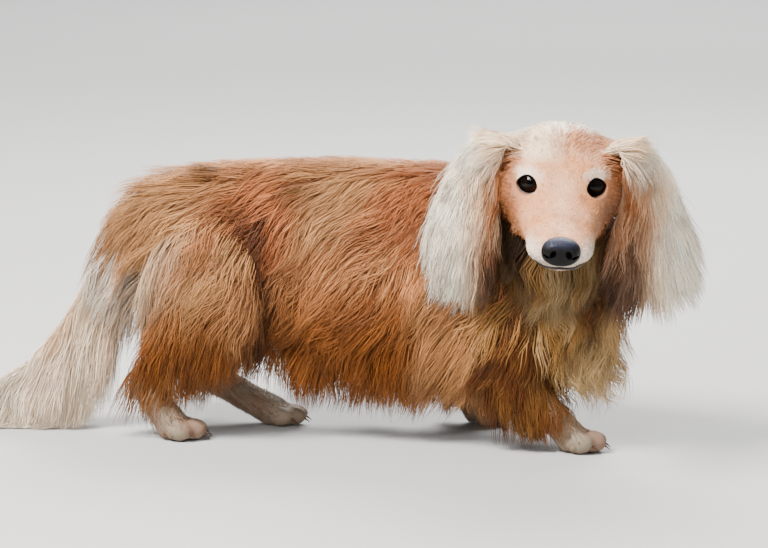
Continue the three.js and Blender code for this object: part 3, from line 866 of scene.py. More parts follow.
@dataclass(frozen=True)
class Finish:
    """A procedural finish: its colour source, gloss and relief."""

    name: str
    roughness: float
    colour: Tone | None = None
    specular: float = 0.5
    coat: float = 0.0
    bump: float = 0.0
    bump_scale: float = 900.0
    mottle: float = 0.0
    mottle_scale: float = 420.0
    relief: float = 0.0006
    coat_roughness: float = 0.03

    def build(self) -> bpy.types.Material:
        """The material, with its colour from the Coat attribute where no tone is given.

        Returns:
            The material.
        """
        made = bpy.data.materials.new(self.name)
        made.use_nodes = True
        nodes, links = made.node_tree.nodes, made.node_tree.links
        shader = nodes["Principled BSDF"]
        shader.inputs["Roughness"].default_value = self.roughness
        shader.inputs["Specular IOR Level"].default_value = self.specular
        shader.inputs["Coat Weight"].default_value = self.coat
        shader.inputs["Coat Roughness"].default_value = self.coat_roughness
        place = nodes.new("ShaderNodeTexCoord")
        if self.colour:
            shader.inputs["Base Color"].default_value = (*self.colour.rgb, 1)
        else:
            source = nodes.new("ShaderNodeAttribute")
            source.attribute_name = "Coat"
            noise = nodes.new("ShaderNodeTexNoise")
            noise.inputs["Scale"].default_value = self.mottle_scale
            links.new(place.outputs["Object"], noise.inputs["Vector"])
            level = nodes.new("ShaderNodeMapRange")
            level.inputs["To Min"].default_value = 1 - self.mottle
            level.inputs["To Max"].default_value = 1 + self.mottle
            links.new(noise.outputs["Fac"], level.inputs["Value"])
            scale = nodes.new("ShaderNodeVectorMath")
            scale.operation = "SCALE"
            links.new(source.outputs["Color"], scale.inputs[0])
            links.new(level.outputs["Result"], scale.inputs["Scale"])
            links.new(scale.outputs["Vector"], shader.inputs["Base Color"])
        if self.bump:
            grain = nodes.new("ShaderNodeTexNoise")
            grain.inputs["Scale"].default_value = self.bump_scale
            grain.inputs["Detail"].default_value = 3
            links.new(place.outputs["Object"], grain.inputs["Vector"])
            relief = nodes.new("ShaderNodeBump")
            relief.inputs["Strength"].default_value = self.bump
            relief.inputs["Distance"].default_value = self.relief
            links.new(grain.outputs["Fac"], relief.inputs["Height"])
            links.new(relief.outputs["Normal"], shader.inputs["Normal"])
        return made


# The fold between the flank and the thigh, seen from the side, in millimetres along and up, where painted
# shade is laid.
FOLD = ((-131, 210), (-103, 170), (-90, 125), (-112, 66))


@dataclass(frozen=True)
class Pattern:
    """The dog's markings, with painted shade and painted highlights, as a colour for each tuft, varied by
    three drifts.
    """

    broad: Drift = field(default_factory=lambda: Drift(85, 11))
    fine: Drift = field(default_factory=lambda: Drift(26, 12))
    swirl: Drift = field(default_factory=lambda: Drift(34, 13, 7))

    def torso(self, at: Array, tip: Array, out: Array) -> Array:
        """Red with apricot lights; honey hair and painted shade low on the flanks; white, partly a painted
        highlight, by the tail's root; gold on the chest; painted shade at the fold.

        Args:
            at: the roots, in the dog's frame.
            tip: the tufts' tips.
            out: the normals at the roots.

        Returns:
            A linear colour for each tuft.
        """
        tone = np.tile(Tone.RED.rgb, (len(at), 1))
        tone = blend(tone, Tone.APRICOT, 0.42 + 0.38 * self.broad(at) + 0.22 * self.fine(at))
        tone = blend(tone, Tone.DEEP, 0.30 * smooth(0.2, 1.1, -self.fine(at)))
        tone = blend(tone, Tone.SAND, 0.75 * smooth(-90, -200, at[:, 0]))
        middle = (at + tip) / 2
        # Honey hair low on the flanks, darkened there as painted shade from the light above.
        low = smooth(150, 98, middle[:, 2]) * smooth(-112, -70, at[:, 0])
        tone = blend(tone, Tone.HONEY, 0.92 * low) * (1 - 0.35 * low)[:, None]
        low = smooth(84, 58, at[:, 2]) * smooth(135, 80, at[:, 0])
        tone = blend(tone, Tone.BEIGE, 0.35 * low)
        shoulder = smooth(38, 62, at[:, 0]) * smooth(120, 96, at[:, 0]) * smooth(160, 120, at[:, 2])
        tone = blend(tone, Tone.APRICOT, 0.5 * shoulder)
        # Pale hair by the tail's root, made white partly as a painted highlight.
        rump = smooth(-194, -212, at[:, 0]) * smooth(184, 168, at[:, 2]) * smooth(20, 0, at[:, 1])
        tone = blend(tone, Tone.WHITE, 0.95 * rump)
        chest = smooth(96, 130, at[:, 0]) * smooth(0.6, 0.1, out[:, 2])
        tone = tone * (1 - chest[:, None]) + self.chest(at, tip, out) * chest[:, None]
        # Painted shade along the fold in front of the thigh.
        dark = 1 - 0.7 * smooth(24, 6, self.fold(middle)) * smooth(215, 180, middle[:, 2])
        return tone * (BODY_LIGHT * dark)[:, None]

    def fold(self, at: Array) -> Array:
        """How far each place is, seen from the side, from the fold in front of the thigh.

        Args:
            at: places in the dog's frame.

        Returns:
            The distances in millimetres.
        """
        away = np.full(len(at), 1e3)
        for a, b in zip(FOLD, FOLD[1:]):
            start, step = np.array(a), np.array(b) - np.array(a)
            t = np.clip((at[:, [0, 2]] - start) @ step / (step @ step), 0, 1)
            away = np.minimum(away, np.linalg.norm(at[:, [0, 2]] - start - t[:, None] * step, axis=1))
        return away

    def chest(self, at: Array, tip: Array, out: Array) -> Array:
        """Gold with dark brown and straw swirls, painted shade under the right ear, straw at the lowest
        front tips.

        Args:
            at: the roots, in the dog's frame.
            tip: the tufts' tips.
            out: the normals at the roots, not used.

        Returns:
            A linear colour for each tuft.
        """
        tone = np.tile(Tone.GOLD.rgb, (len(at), 1))
        tone = blend(tone, Tone.UMBER, 0.85 * smooth(0.3, 0.8, self.swirl(at)))
        tone = blend(tone, Tone.STRAW, 0.85 * smooth(0.2, 0.8, -self.swirl(at)))
        # Painted shade under the right ear.
        under = smooth(70, 130, at[:, 0]) * smooth(-30, -62, at[:, 1]) * smooth(130, 165, at[:, 2])
        tone = blend(tone, Tone.SOOT, 0.6 * under)
        pale = smooth(160, 186, tip[:, 0]) * smooth(90, 62, tip[:, 2])
        return blend(tone, Tone.STRAW, 0.9 * pale)

    def neck(self, at: Array, tip: Array, out: Array) -> Array:
        """As the chest below, painted shade beside the jaw, and red with apricot lights above.

        Args:
            at: the roots, in the dog's frame.
            tip: the tufts' tips.
            out: the normals at the roots.

        Returns:
            A linear colour for each tuft.
        """
        tone = self.chest(at, tip, out)
        p = to_head(at)
        # Painted shade beside the jaw, under the ear.
        dark = smooth(26, 44, np.abs(p[:, 1])) * smooth(-110, -70, p[:, 2]) * smooth(-60, -40, p[:, 0])
        tone = blend(tone, Tone.SOOT, 0.75 * dark)
        above = smooth(-0.2, 0.3, out[:, 2]) * smooth(-30, -55, p[:, 0])
        tone = blend(tone, Tone.RED, above)
        return blend(tone, Tone.APRICOT, above * (0.4 + 0.4 * self.broad(at))) * BODY_LIGHT

    def tail(self, at: Array, tip: Array, out: Array) -> Array:
        """Sand at the root, cream along the flag.

        Args:
            at: the roots, in the dog's frame.
            tip: the tufts' tips.
            out: the normals at the roots, not used.

        Returns:
            A linear colour for each tuft.
        """
        tone = np.tile(Tone.CREAM.rgb, (len(at), 1))
        tone = blend(tone, Tone.SAND, 0.45 + 0.35 * self.fine(at) + 0.2 * smooth(-250, -215, at[:, 0]))
        return blend(tone, Tone.WHITE, 0.5 * smooth(80, 20, tip[:, 2])) * FLAG_LIGHT

    def thigh(self, at: Array, tip: Array, out: Array) -> Array:
        """Sand and red, paler high behind partly as a painted highlight, honey below and darkened there as
        painted shade, and painted shade along the fold.

        Args:
            at: the roots, in the dog's frame.
            tip: the tufts' tips.
            out: the normals at the roots.

        Returns:
            A linear colour for each tuft.
        """
        tone = np.tile(Tone.SAND.rgb, (len(at), 1))
        tone = blend(tone, Tone.RED, 0.25 + 0.25 * self.broad(at) + 0.2 * self.fine(at))
        # Paler hair high behind, partly a painted highlight.
        tone = blend(tone, Tone.CREAM, 0.6 * smooth(0.1, -0.7, out[:, 0]) * smooth(120, 160, at[:, 2]))
        # Honey hair below, darkened there as painted shade.
        low = smooth(138, 84, (at[:, 2] + tip[:, 2]) / 2) * smooth(-100, -130, at[:, 0])
        tone = blend(tone, Tone.HONEY, 0.9 * low)
        # Painted shade along the fold at the thigh's front edge.
        tone = blend(tone, Tone.DEEP, 0.6 * smooth(-116, -94, at[:, 0]))
        return tone * (BODY_LIGHT * (1 - 0.35 * low))[:, None]

    def shank(self, at: Array, tip: Array, out: Array) -> Array:
        """Honey above, cream towards the foot.

        Args:
            at: the roots, in the dog's frame.
            tip: the tufts' tips, not used.
            out: the normals at the roots, not used.

        Returns:
            A linear colour for each tuft.
        """
        tone = np.tile(Tone.HONEY.rgb, (len(at), 1))
        tone = blend(tone, Tone.SAND, 0.2 + 0.25 * self.fine(at))
        # LEG_LIGHT darkens the shank as painted shade near the ground.
        return blend(tone, Tone.CREAM, 0.8 * smooth(56, 40, at[:, 2])) * LEG_LIGHT

    def foreleg(self, at: Array, tip: Array, out: Array) -> Array:
        """Dark red brown behind and above, rose and cream towards the foot.

        Args:
            at: the roots, in the dog's frame.
            tip: the tufts' tips, not used.
            out: the normals at the roots, not used.

        Returns:
            A linear colour for each tuft.
        """
        tone = np.tile(Tone.HONEY.rgb, (len(at), 1))
        tone = blend(tone, Tone.UMBER, 0.35 + 0.4 * self.swirl(at))
        tone = blend(tone, Tone.GOLD, 0.5 * smooth(0.0, 0.9, -self.swirl(at)))
        # LEG_LIGHT darkens the foreleg as painted shade near the ground.
        return blend(tone, Tone.ROSE, 0.8 * smooth(34, 24, at[:, 2])) * LEG_LIGHT

    def paw(self, at: Array, tip: Array, out: Array) -> Array:
        """Whitish cream with a rose tinge."""
        tone = np.tile(Tone.CREAM.rgb, (len(at), 1))
        # FOOT_LIGHT darkens the paw as painted shade near the ground.
        return blend(tone, Tone.ROSE, 0.4 + 0.3 * self.fine(at)) * FOOT_LIGHT

    def head(self, at: Array, tip: Array, out: Array) -> Array:
        """Pinkish tan; brown at the sides, partly painted shade; painted shade on the left lower face,
        behind the cheeks and under the chin; whitish over the eyes and beside the nose; white on the crown,
        partly a painted highlight.

        Args:
            at: the roots, in the dog's frame.
            tip: the tufts' tips, not used.
            out: the normals at the roots, not used.

        Returns:
            A linear colour for each tuft.
        """
        p = to_head(at)
        x, y, z = p.T
        wide = np.abs(y)
        rise = 0.96 * z - 0.28 * x
        tone = np.tile(Tone.FACE.rgb, (len(p), 1))
        tone = blend(tone, Tone.ROSE, 0.35 + 0.25 * self.fine(at))
        bridge = smooth(13, 5, wide + 3 * self.fine(at)) * smooth(-8, 12, x)
        tone = blend(tone, Tone.CREAM, 0.15 * bridge)
        tone = blend(tone, Tone.BAND, 0.3 * smooth(0.2, 1.0, self.fine(at * 1.7)) * smooth(20, 50, x))
        forehead = smooth(5, -5, y) * smooth(14, 26, rise) * smooth(36, 28, wide)
        tone = blend(tone, Tone.CREAM, 0.8 * forehead)
        furrow = smooth(10, 4, np.abs(y + 3)) * smooth(16, 26, rise) * smooth(50, 42, rise)
        tone = blend(tone, Tone.BAND, 0.45 * furrow)
        brow = np.hypot((y - 20) / 14, (rise - 36) / 13)
        tone = blend(tone, Tone.BAND, 0.5 * smooth(1.2, 0.4, brow + 0.2 * self.fine(at)))
        # Tan at the face's sides, darkened partly as painted shade.
        tone = blend(tone, Tone.BAND, 0.85 * smooth(29, 41, wide) * smooth(42, 28, rise))
        # Cream crown made white, partly as a painted highlight.
        tone = blend(tone, Tone.WHITE, 0.95 * smooth(42, 50, rise + 3 * self.fine(at)))
        for side in (1, -1):
            lid = np.array([-2, side * EYE_APART, 9])
            ring = np.linalg.norm((p - lid) / (1.8, 1.3, 0.55), axis=1)
            tone = blend(tone, Tone.WHITE, 0.6 * smooth(13, 5, ring + 0.8 * self.fine(at * 2)))
            corner = np.linalg.norm((p - (2, side * (EYE_APART - 12), -4)) / (2.0, 1.0, 0.8), axis=1)
            tone = blend(tone, Tone.UMBER, 0.85 * smooth(5.5, 1.5, corner))
            under = np.linalg.norm((p - (4, side * EYE_APART, -12)) / (1.8, 1.6, 0.7), axis=1)
            tone = blend(tone, Tone.BAND, 0.4 * smooth(13, 5, under))
        tone = blend(tone, Tone.WHITE, 0.8 * smooth(30, 60, x) * smooth(-22, -36, z))
        # Tan under the chin, darkened as painted shade.
        chin = smooth(-47, -50, z)
        tone = blend(tone, Tone.FACE, 0.8 * chin) * (1 - 0.45 * chin)[:, None]
        # Painted shade on the left side of the lower face, away from the key light.
        tone = blend(tone, Tone.UMBER, 0.5 * smooth(18, 34, y) * smooth(0, -24, z))
        # Painted shade behind the cheeks, under the ears.
        cheek = smooth(0, -34, x) * smooth(14, -10, z) * smooth(30, 40, wide)
        tone = blend(tone, Tone.UMBER, 0.9 * cheek)
        behind = smooth(-58, -80, x)
        tone = blend(tone, Tone.CREAM, behind)
        return blend(tone, Tone.RED, 0.8 * behind * smooth(24, 0, z + 4 * self.fine(at)))

    def ear(self, at: Array, tip: Array, out: Array) -> Array:
        """Brown along the inner edge, white outside, white above partly as a painted highlight, dark at the
        inner tips.

        Args:
            at: the roots, in the dog's frame.
            tip: the tufts' tips.
            out: the normals at the roots, not used.

        Returns:
            A linear colour for each tuft.
        """
        p, end = to_head(at), to_head(tip)
        outer = np.abs(p[:, 1]) * 0.5 + np.abs(end[:, 1]) * 0.5
        left = smooth(-10, 10, p[:, 1])
        tone = np.tile(Tone.CREAM.rgb, (len(p), 1))
        tone = blend(tone, Tone.SAND, 0.25 + 0.3 * self.fine(at))
        edge = outer + 6 * self.fine(at)
        tone = blend(tone, Tone.WHITE, 0.9 * smooth(66 + 10 * left, 84 + 10 * left, edge))
        streak = self.fine(at * 2.2)
        band = smooth(78 + 12 * left, 56 + 8 * left, outer + 5 * streak) * smooth(26, 12, p[:, 2])
        tone = blend(tone, Tone.BAND, band * (0.78 + 0.2 * streak))
        # Cream ear tops made white, partly as a painted highlight.
        top = smooth(10, 20, p[:, 2]) * smooth(44, 56, np.abs(p[:, 1]))
        tone = blend(tone, Tone.WHITE, 0.9 * top)
        dark = smooth(76 + 8 * left, 58 + 8 * left, outer + 5 * streak) * smooth(-70, -100, end[:, 2])
        return blend(tone, Tone.SOOT, dark * (0.75 + 0.2 * streak))


# The unwrap's rectangles: the torso and head below, and the other parts above.
TORSO_CELL, HEAD_CELL = (0.0, 0.0, 0.6, 0.5), (0.6, 0.0, 0.4, 0.5)


def small_cell(n: int) -> tuple[float, float, float, float]:
    """One of sixteen small rectangles of the unwrap's upper half."""
    return (n % 8) * 0.125, 0.5 + (n // 8) * 0.25, 0.125, 0.25


@dataclass
class Body:
    """The dog's flesh: every loft, the skin made of them and the coat that grows on it.

    Sizes are in millimetres. offset leads from the dog's frame to the row frame, reach is how far the
    skin may lie from a loft for a tuft to grow there, and tufts holds how many are drawn for each part.
    """

    offset: Array
    voxel: float = 2.2
    lid_thick: float = 1.9
    eye_room: float = 0.3
    skin_shade: float = 0.72
    reach: float = 4.0
    tufts: dict[str, int] = field(default_factory=lambda: {
        "torso": 27000, "neck": 9000, "head": 13500, "jaw": 2500, "tail": 5200, "ear": 6800,
        "upper_arm": 1700, "thigh": 4200, "lower_leg": 1500, "foot": 900,
    })

    def __post_init__(self) -> None:
        """Makes the markings and every loft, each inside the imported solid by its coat's depth."""
        self.pattern = Pattern()
        cross = ((0.01, 1.0, 0.0),)
        self.skull = Loft(SKULL, square=2.15, caps=(0.7, 0.35), inset=1.6, sculpt=head_form,
                          place=from_head)
        self.jaw = Loft(JAW, inset=1.2, place=from_head)
        self.torso = Loft(TORSO, square=2.2, inset=3.0, rings=90)
        self.neck = Loft(NECK, ((0.4, 0.9, 0.0),), inset=5.0)
        self.tail = Loft(TAIL, ((0.0, -1.0, 0.0),), caps=(0.5, 0.8), inset=4.0)
        self.ears = {
            side: Loft(ear_stations(side), ((1, -0.2 * side, 0), (0.5, -0.86 * side, 0.05)),
                       caps=(0.5, 0.5), inset=2.0, place=from_head)
            for side in (1.0, -1.0)
        }
        self.legs = {
            leg: (Loft(leg.upper(), cross, inset=4), Loft(leg.lower(), cross, inset=3.5),
                  Loft(leg.paw(), inset=1.5))
            for leg in LEGS
        }

    def lofts(self) -> list[Loft]:
        """Every loft of the flesh."""
        return [self.skull, self.jaw, self.torso, self.neck, self.tail, *self.ears.values(),
                *[piece for three in self.legs.values() for piece in three]]

    def skin(self, finish: bpy.types.Material) -> bpy.types.Object:
        """One closed skin: the lofts and toes joined, remeshed and smoothed, with the lids cut open.

        Args:
            finish: the skin's material.

        Returns:
            The skin's object.
        """
        verts: list[Array] = []
        faces: list[tuple[int, ...]] = []
        start = 0
        for loft in self.lofts():
            flat = loft.grid.reshape(-1, 3)
            verts.append(flat)
            faces += loft.faces(start)
            start += len(flat)
        skin = solid("skin", np.concatenate(verts), faces, self.offset)
        balls = [*self.toe_balls(), *self.lid_balls()]
        bpy.ops.object.select_all(action="DESELECT")
        for ball in balls:
            ball.select_set(True)
        skin.select_set(True)
        bpy.context.view_layer.objects.active = skin
        bpy.ops.object.join()
        self.change(skin, "REMESH", mode="VOXEL", voxel_size=self.voxel * MM)
        self.change(skin, "SMOOTH", factor=0.5, iterations=3)
        for vertex in skin.data.vertices:
            vertex.co.z = max(vertex.co.z, SOLE_AT * MM)
        for side in (1, -1):
            self.cut(skin, eye_opening(side, self.offset))
            room = EYE_BALL + self.eye_room
            self.cut(skin, ball_at("eye_room", eye_at(side), room, self.offset, 48))
        dress(skin, finish)
        return skin

    def toe_balls(self) -> list[bpy.types.Object]:
        """Four toes on each foot.

        Returns:
            The balls that are joined to the skin.
        """
        made = []
        for leg in LEGS:
            for forward, side, half in TOES:
                at = np.array([leg.toes[0] + 7 + forward, leg.toes[1] + side * 0.9, 9.2])
                made.append(ball_at("toe", at, 1.0, self.offset, 24, (half + 3, 6.2, 8.8)))
        return made

    def lid_balls(self) -> list[bpy.types.Object]:
        """The lids' domes over the eyeballs."""
        radius = EYE_BALL + self.lid_thick
        return [ball_at("lid", eye_at(side), radius, self.offset, 32) for side in (1, -1)]

    def change(self, obj: bpy.types.Object, kind: str, **values: object) -> None:
        """Adds a modifier and applies it.

        Args:
            obj: the object.
            kind: the modifier's type.
            values: its settings.
        """
        select_only(obj)
        modifier = obj.modifiers.new(kind.lower(), kind)
        for key, value in values.items():
            setattr(modifier, key, value)
        bpy.ops.object.modifier_apply(modifier=modifier.name)

    def cut(self, obj: bpy.types.Object, tool: bpy.types.Object) -> None:
        """Cuts a closed tool out of an object and removes the tool."""
        self.change(obj, "BOOLEAN", operation="DIFFERENCE", object=tool, solver="EXACT")
        bpy.data.objects.remove(tool)

    def tree(self, skin: bpy.types.Object) -> BVHTree:
        """The skin's faces in millimetres of the dog's frame.

        Args:
            skin: the skin's object.

        Returns:
            The tree that finds the nearest face.
        """
        faces = [tuple(p.vertices) for p in skin.data.polygons]
        return BVHTree.FromPolygons(points_of(skin, self.offset).tolist(), faces)

    def settle(self, roots: Roots, skin: BVHTree) -> Roots:
        """Keeps the roots that lie on the skin and sets them and their normals on it.

        Args:
            roots: roots on a loft.
            skin: the skin's faces in millimetres.

        Returns:
            The roots that are kept.
        """
        keep = np.zeros(len(roots), bool)
        for n in range(len(roots)):
            spot, normal, _, far = skin.find_nearest(roots.at[n])
            if far < self.reach and Vector(roots.out[n]).dot(normal) > 0.2:
                keep[n] = True
                roots.at[n] = spot
                roots.out[n] = normal
        return roots.pick(keep)

    def bare(self, at: Array) -> Array:
        """Whether a place is within the lids, on the nose or on the edge of the lips.

        Args:
            at: places in the dog's frame.

        Returns:
            True where no tuft may grow.
        """
        p = to_head(at)
        found = (p[:, 0] > 78) & (np.abs(p[:, 1]) < NOSE_WIDE) & (p[:, 2] > -45)
        for side in (1, -1):
            look, wide, high = eye_axes(side)
            away = at - eye_at(side)
            flat = np.hypot(away @ wide / (EYE_HALF[0] + 2.0), away @ high / (EYE_HALF[1] + 2.2))
            found |= (flat < 1) & (away @ look > 0)
        return found

    def coats(self, skin: BVHTree, share: float) -> Iterator[Coat]:
        """Every part's coat, from the torso to the feet.

        Args:
            skin: the skin's faces in millimetres.
            share: scales how many tufts there are.

        Yields:
            One coat for each part.
        """
        rng = np.random.default_rng(5)
        tone = self.pattern

        def rooted(loft: Loft, part: str, cell: tuple[float, float, float, float],
                   density: Callable[[Array, Array], Array] | None = None) -> Roots:
            """A part's roots, scattered over its loft and set on the skin."""
            count = int(self.tufts[part] * share)
            return self.settle(scatter(loft, count, cell, rng, density), skin)

        roots = rooted(self.torso, "torso", TORSO_CELL)
        yield Coat("torso", roots, self.torso_hair(roots), tone.torso, 21)
        roots = rooted(self.neck, "neck", small_cell(0))
        yield Coat("neck", roots, self.neck_hair(roots), tone.neck, 22)
        roots = rooted(self.skull, "head", HEAD_CELL, self.head_density)
        roots = roots.pick(~self.bare(roots.at))
        yield Coat("head", roots, self.head_hair(roots), tone.head, 23)
        roots = rooted(self.jaw, "jaw", small_cell(1))
        yield Coat("jaw", roots, self.head_hair(roots), tone.head, 24)
        roots = rooted(self.tail, "tail", small_cell(2))
        yield Coat("tail", roots, self.tail_hair(roots), tone.tail, 25)
        for n, (side, loft) in enumerate(self.ears.items()):
            roots = rooted(loft, "ear", small_cell(3 + n))
            name = "ear_left" if side > 0 else "ear_right"
            yield Coat(name, roots, self.ear_hair(roots, side), tone.ear, 26 + n)
        for n, (leg, (upper, lower, paw)) in enumerate(self.legs.items()):
            roots = rooted(upper, "upper_arm" if leg.fore else "thigh", small_cell(5 + n))
            colour = tone.foreleg if leg.fore else tone.thigh
            yield Coat(f"upper_{leg.name}", roots, self.upper_hair(roots, leg), colour, 30 + n)
            roots = rooted(lower, "lower_leg", small_cell(9 + n))
            colour = tone.foreleg if leg.fore else tone.shank
            yield Coat(f"lower_{leg.name}", roots, self.lower_hair(roots, leg), colour, 34 + n)
            left, low, wide, high = small_cell(13)
            roots = rooted(paw, "foot", (left + n * wide / 4, low, wide / 4, high))
            yield Coat(f"paw_{leg.name}", roots, self.paw_hair(roots, leg), tone.paw, 38 + n)

    def torso_hair(self, roots: Roots) -> Hair:
        """Back and down along the body, longest low on the flanks, hanging as a fringe from the belly.

        Args:
            roots: where the tufts start.

        Returns:
            How the hair grows.
        """
        x, y, z = roots.at.T
        side = np.sign(y)
        top = smooth(0.25, 0.9, roots.out[:, 2])
        under = smooth(-0.35, -0.8, roots.out[:, 2])
        front = smooth(110, 160, x)
        rear = smooth(-185, -222, x)
        lie = rows(
            len(x),
            -0.62 - 0.25 * top + 0.45 * under + front * 0.85 - 0.25 * rear,
            0.4 * side * top + 0.12 * side * front,
            -0.72 * (1 - top * 0.8) - 0.6 * under - 0.35 * front - 0.6 * rear,
        )
        lie += 0.30 * rows(len(x), Drift(55, 51)(roots.at), 0, Drift(55, 52)(roots.at))
        long = 60 - 14 * top + 8 * smooth(140, 90, z) - 8 * front + 26 * rear * smooth(200, 150, z)
        fringe = smooth(88, 62, z)
        ground = np.where(x > 130, 26 - 20 * smooth(150, 165, x), 24 - 0.10 * np.minimum(x + 20, 0))
        reach = np.clip(z - ground, 14, 84)
        long = long * (1 - fringe) + np.maximum(reach, 16) * fringe
        thigh = smooth(-75, -115, x) * smooth(205, 170, z)
        depth = (8 + 6 * smooth(170, 110, z) * (1 - under) + 6 * rear) * (1 - 0.6 * thigh * (1 - rear))
        hang = 0.25 + 0.5 * fringe + 0.3 * rear
        lie[:, 0] += 0.5 * smooth(140, 165, x) * smooth(110, 85, z)
        wave = 5.0 + 5.0 * front
        return Hair(long, unit(lie), 1.1, depth, hang, wave, 52.0 - 18 * front, 0.36, 60)

    def neck_hair(self, roots: Roots) -> Hair:
        """A frill that falls from the throat and the sides of the neck.

        Args:
            roots: where the tufts start.

        Returns:
            How the hair grows.
        """
        out = roots.out
        lie = rows(len(out), 0.15 * out[:, 0] - 0.2, 0.25 * out[:, 1], -1)
        top = smooth(0.3, 0.9, out[:, 2])
        lie = lie + top[:, None] * np.array([-1.0, 0.6, 0.4])
        sides = smooth(28, 42, np.abs(to_head(roots.at)[:, 1]))
        return Hair(54 - 18 * top, unit(lie), 1.1, 11.0 + 6 * sides, 0.35, 9.0, 36.0, 0.55, 60)

    def head_density(self, at: Array, out: Array) -> Array:
        """More tufts on the fine short hair of the face."""
        p = to_head(at)
        return 1 + 1.2 * smooth(-30, 20, p[:, 0])

    def head_hair(self, roots: Roots) -> Hair:
        """Short and flat on the muzzle, longer on the crown, over the ears' roots and behind the cheeks.

        Args:
            roots: where the tufts start.

        Returns:
            How the hair grows.
        """
        p = to_head(roots.at)
        side = np.sign(p[:, 1])
        wide = np.abs(p[:, 1])
        flat = rows(len(p), -1, 0.25 * side, 0.25)
        cheek = smooth(20, 40, wide) * smooth(10, -20, p[:, 2])
        flat[:, 2] -= 0.9 * cheek
        flat[:, 2] -= 0.9 * smooth(-30, -50, p[:, 2])
        back = smooth(20, -60, p[:, 0])
        low = smooth(-38, -54, p[:, 2])
        crown = smooth(18, 34, p[:, 2])
        temple = smooth(24, 38, wide) * smooth(-6, 12, p[:, 2]) * smooth(-6, -26, p[:, 0])
        flat += temple[:, None] * rows(len(p), 0.4, 1.1 * side, -0.9)
        over = smooth(20, 34, wide) * smooth(12, 24, p[:, 2]) * smooth(-4, -22, p[:, 0])
        flat += over[:, None] * rows(len(p), 0.1, 1.6 * side, -0.5)
        flat[:, 2] -= 0.35 * crown
        lie = flat @ HEAD_AXES.T
        ruff = back * cheek
        long = 3.4 + 5 * back + 26 * ruff + 10 * low * back + 8 * crown + 18 * temple + 18 * over
        depth = 0.25 + 0.9 * back + 1.0 * crown + 3.0 * temple + 3.0 * ruff + 3.0 * over
        return Hair(long, unit(lie), 0.7, depth, 0.1, 0.3, 14.0, 0.3, 8, 4, 0.08)

    def tail_hair(self, roots: Roots) -> Hair:
        """A flag of long hair along the tail and down from it.

        Args:
            roots: where the tufts start.

        Returns:
            How the hair grows.
        """
        out = roots.out
        down = smooth(0.7, -0.4, out[:, 2])
        lie = roots.along * (1.0 - 0.45 * down)[:, None] + np.array([0, 0, -1.0]) * down[:, None]
        lie[:, 1] += 0.12 * np.sign(out[:, 1])
        high = smooth(50, 110, roots.at[:, 2])
        return Hair(44 + (46 + 44 * high) * down, unit(lie), 1.2, 6.0, 0.3, 4.0, 46.0, 0.4, 40)

    def ear_hair(self, roots: Roots, side: float) -> Hair:
        """Long waves down the flap that flare outwards below, further on the left.

        Args:
            roots: where the tufts start.
            side: 1 for the left ear and -1 for the right.

        Returns:
            How the hair grows.
        """
        p = to_head(roots.at)
        flare = smooth(58, 100, np.abs(p[:, 1]))
        swing = 0.02 + 0.15 * flare if side < 0 else -0.26 + 0.84 * flare
        lie = rows(len(p), -0.25, side * swing, -1)
        arch = smooth(4, 20, p[:, 2])[:, None]
        lie = lie @ HEAD_AXES.T * (1 - arch) + roots.along * arch
        long = 30 + 26 * smooth(20, -50, p[:, 2])
        return Hair(long, unit(lie), 0.95, 4.0, 0.12, 2.6, 38.0, 0.4, 36)

    def upper_hair(self, roots: Roots, leg: Leg) -> Hair:
        """Back and down over the shoulder or thigh, long behind.

        Args:
            roots: where the tufts start.
            leg: the leg that they grow on.

        Returns:
            How the hair grows.
        """
        out = roots.out
        behind = smooth(0.1, -0.7, out[:, 0])
        lie = rows(len(out), -0.45 + 0.2 * behind, 0.1 * leg.side, -0.9)
        lie += 0.35 * rows(len(out), Drift(45, 61)(roots.at), 0, Drift(45, 62)(roots.at))
        long = (30 if leg.fore else 42) + (16 if leg.fore else 34) * behind
        depth = 6.0 + 3 * behind if leg.fore else 9.0 + 4 * behind
        return Hair(long, unit(lie), 1.1, depth, 0.3 + 0.3 * behind, 4.0, 46.0, 0.3, 60, stray=0.07)

    def lower_hair(self, roots: Roots, leg: Leg) -> Hair:
        """Close in front and feathered behind, and feathered all round on the right legs.

        Args:
            roots: where the tufts start.
            leg: the leg that they grow on.

        Returns:
            How the hair grows.
        """
        behind = smooth(0.1, -0.7, roots.out[:, 0])
        if leg.side < 0:
            behind = np.maximum(behind, 0.8)
        lie = rows(len(behind), -0.1 * behind, 0, -1)
        lie = unit(roots.along * (1 - 0.6 * behind)[:, None] + lie * (0.3 + behind)[:, None])
        reach = np.clip(roots.at[:, 2] - 4, 10, 60)
        long = np.minimum(12 + 50 * behind, reach)
        return Hair(long, lie, 1.0, 2.0 + 6 * behind, 0.5, 3.0, 30.0, 0.4, 24)

    def paw_hair(self, roots: Roots, leg: Leg) -> Hair:
        """Short hair towards the toes.

        Args:
            roots: where the tufts start.
            leg: the leg that they grow on, not used.

        Returns:
            How the hair grows.
        """
        lie = roots.along + np.array([0.2, 0, -0.15])
        long = 7.0 + 9 * smooth(16, 40, roots.at[:, 2])
        return Hair(long, unit(lie), 0.9, 1.2, 0.3, 0.5, 12.0, 0.35, 8, 4)

    def paint_skin(self, skin: bpy.types.Object, coats: Sequence[Coat]) -> None:
        """Gives the skin the colour of the tufts that grow nearest to each of its points.

        Args:
            skin: the skin's object.
            coats: the coats that grow on it.
        """
        at = np.concatenate([c.roots.at[::3] for c in coats])
        tone = np.concatenate([c.colour(c.roots.at, c.roots.at, c.roots.out)[::3] for c in coats])
        tree = point_tree(at)
        near = [tree.find(p)[1] for p in points_of(skin, self.offset)]
        paint(skin, tone[near] * self.skin_shade)


def eye_at(side: float) -> Array:
    """An eyeball's middle in the dog's frame."""
    return from_head(np.array([-8.5, side * (EYE_APART - 2.6), -1.0]))


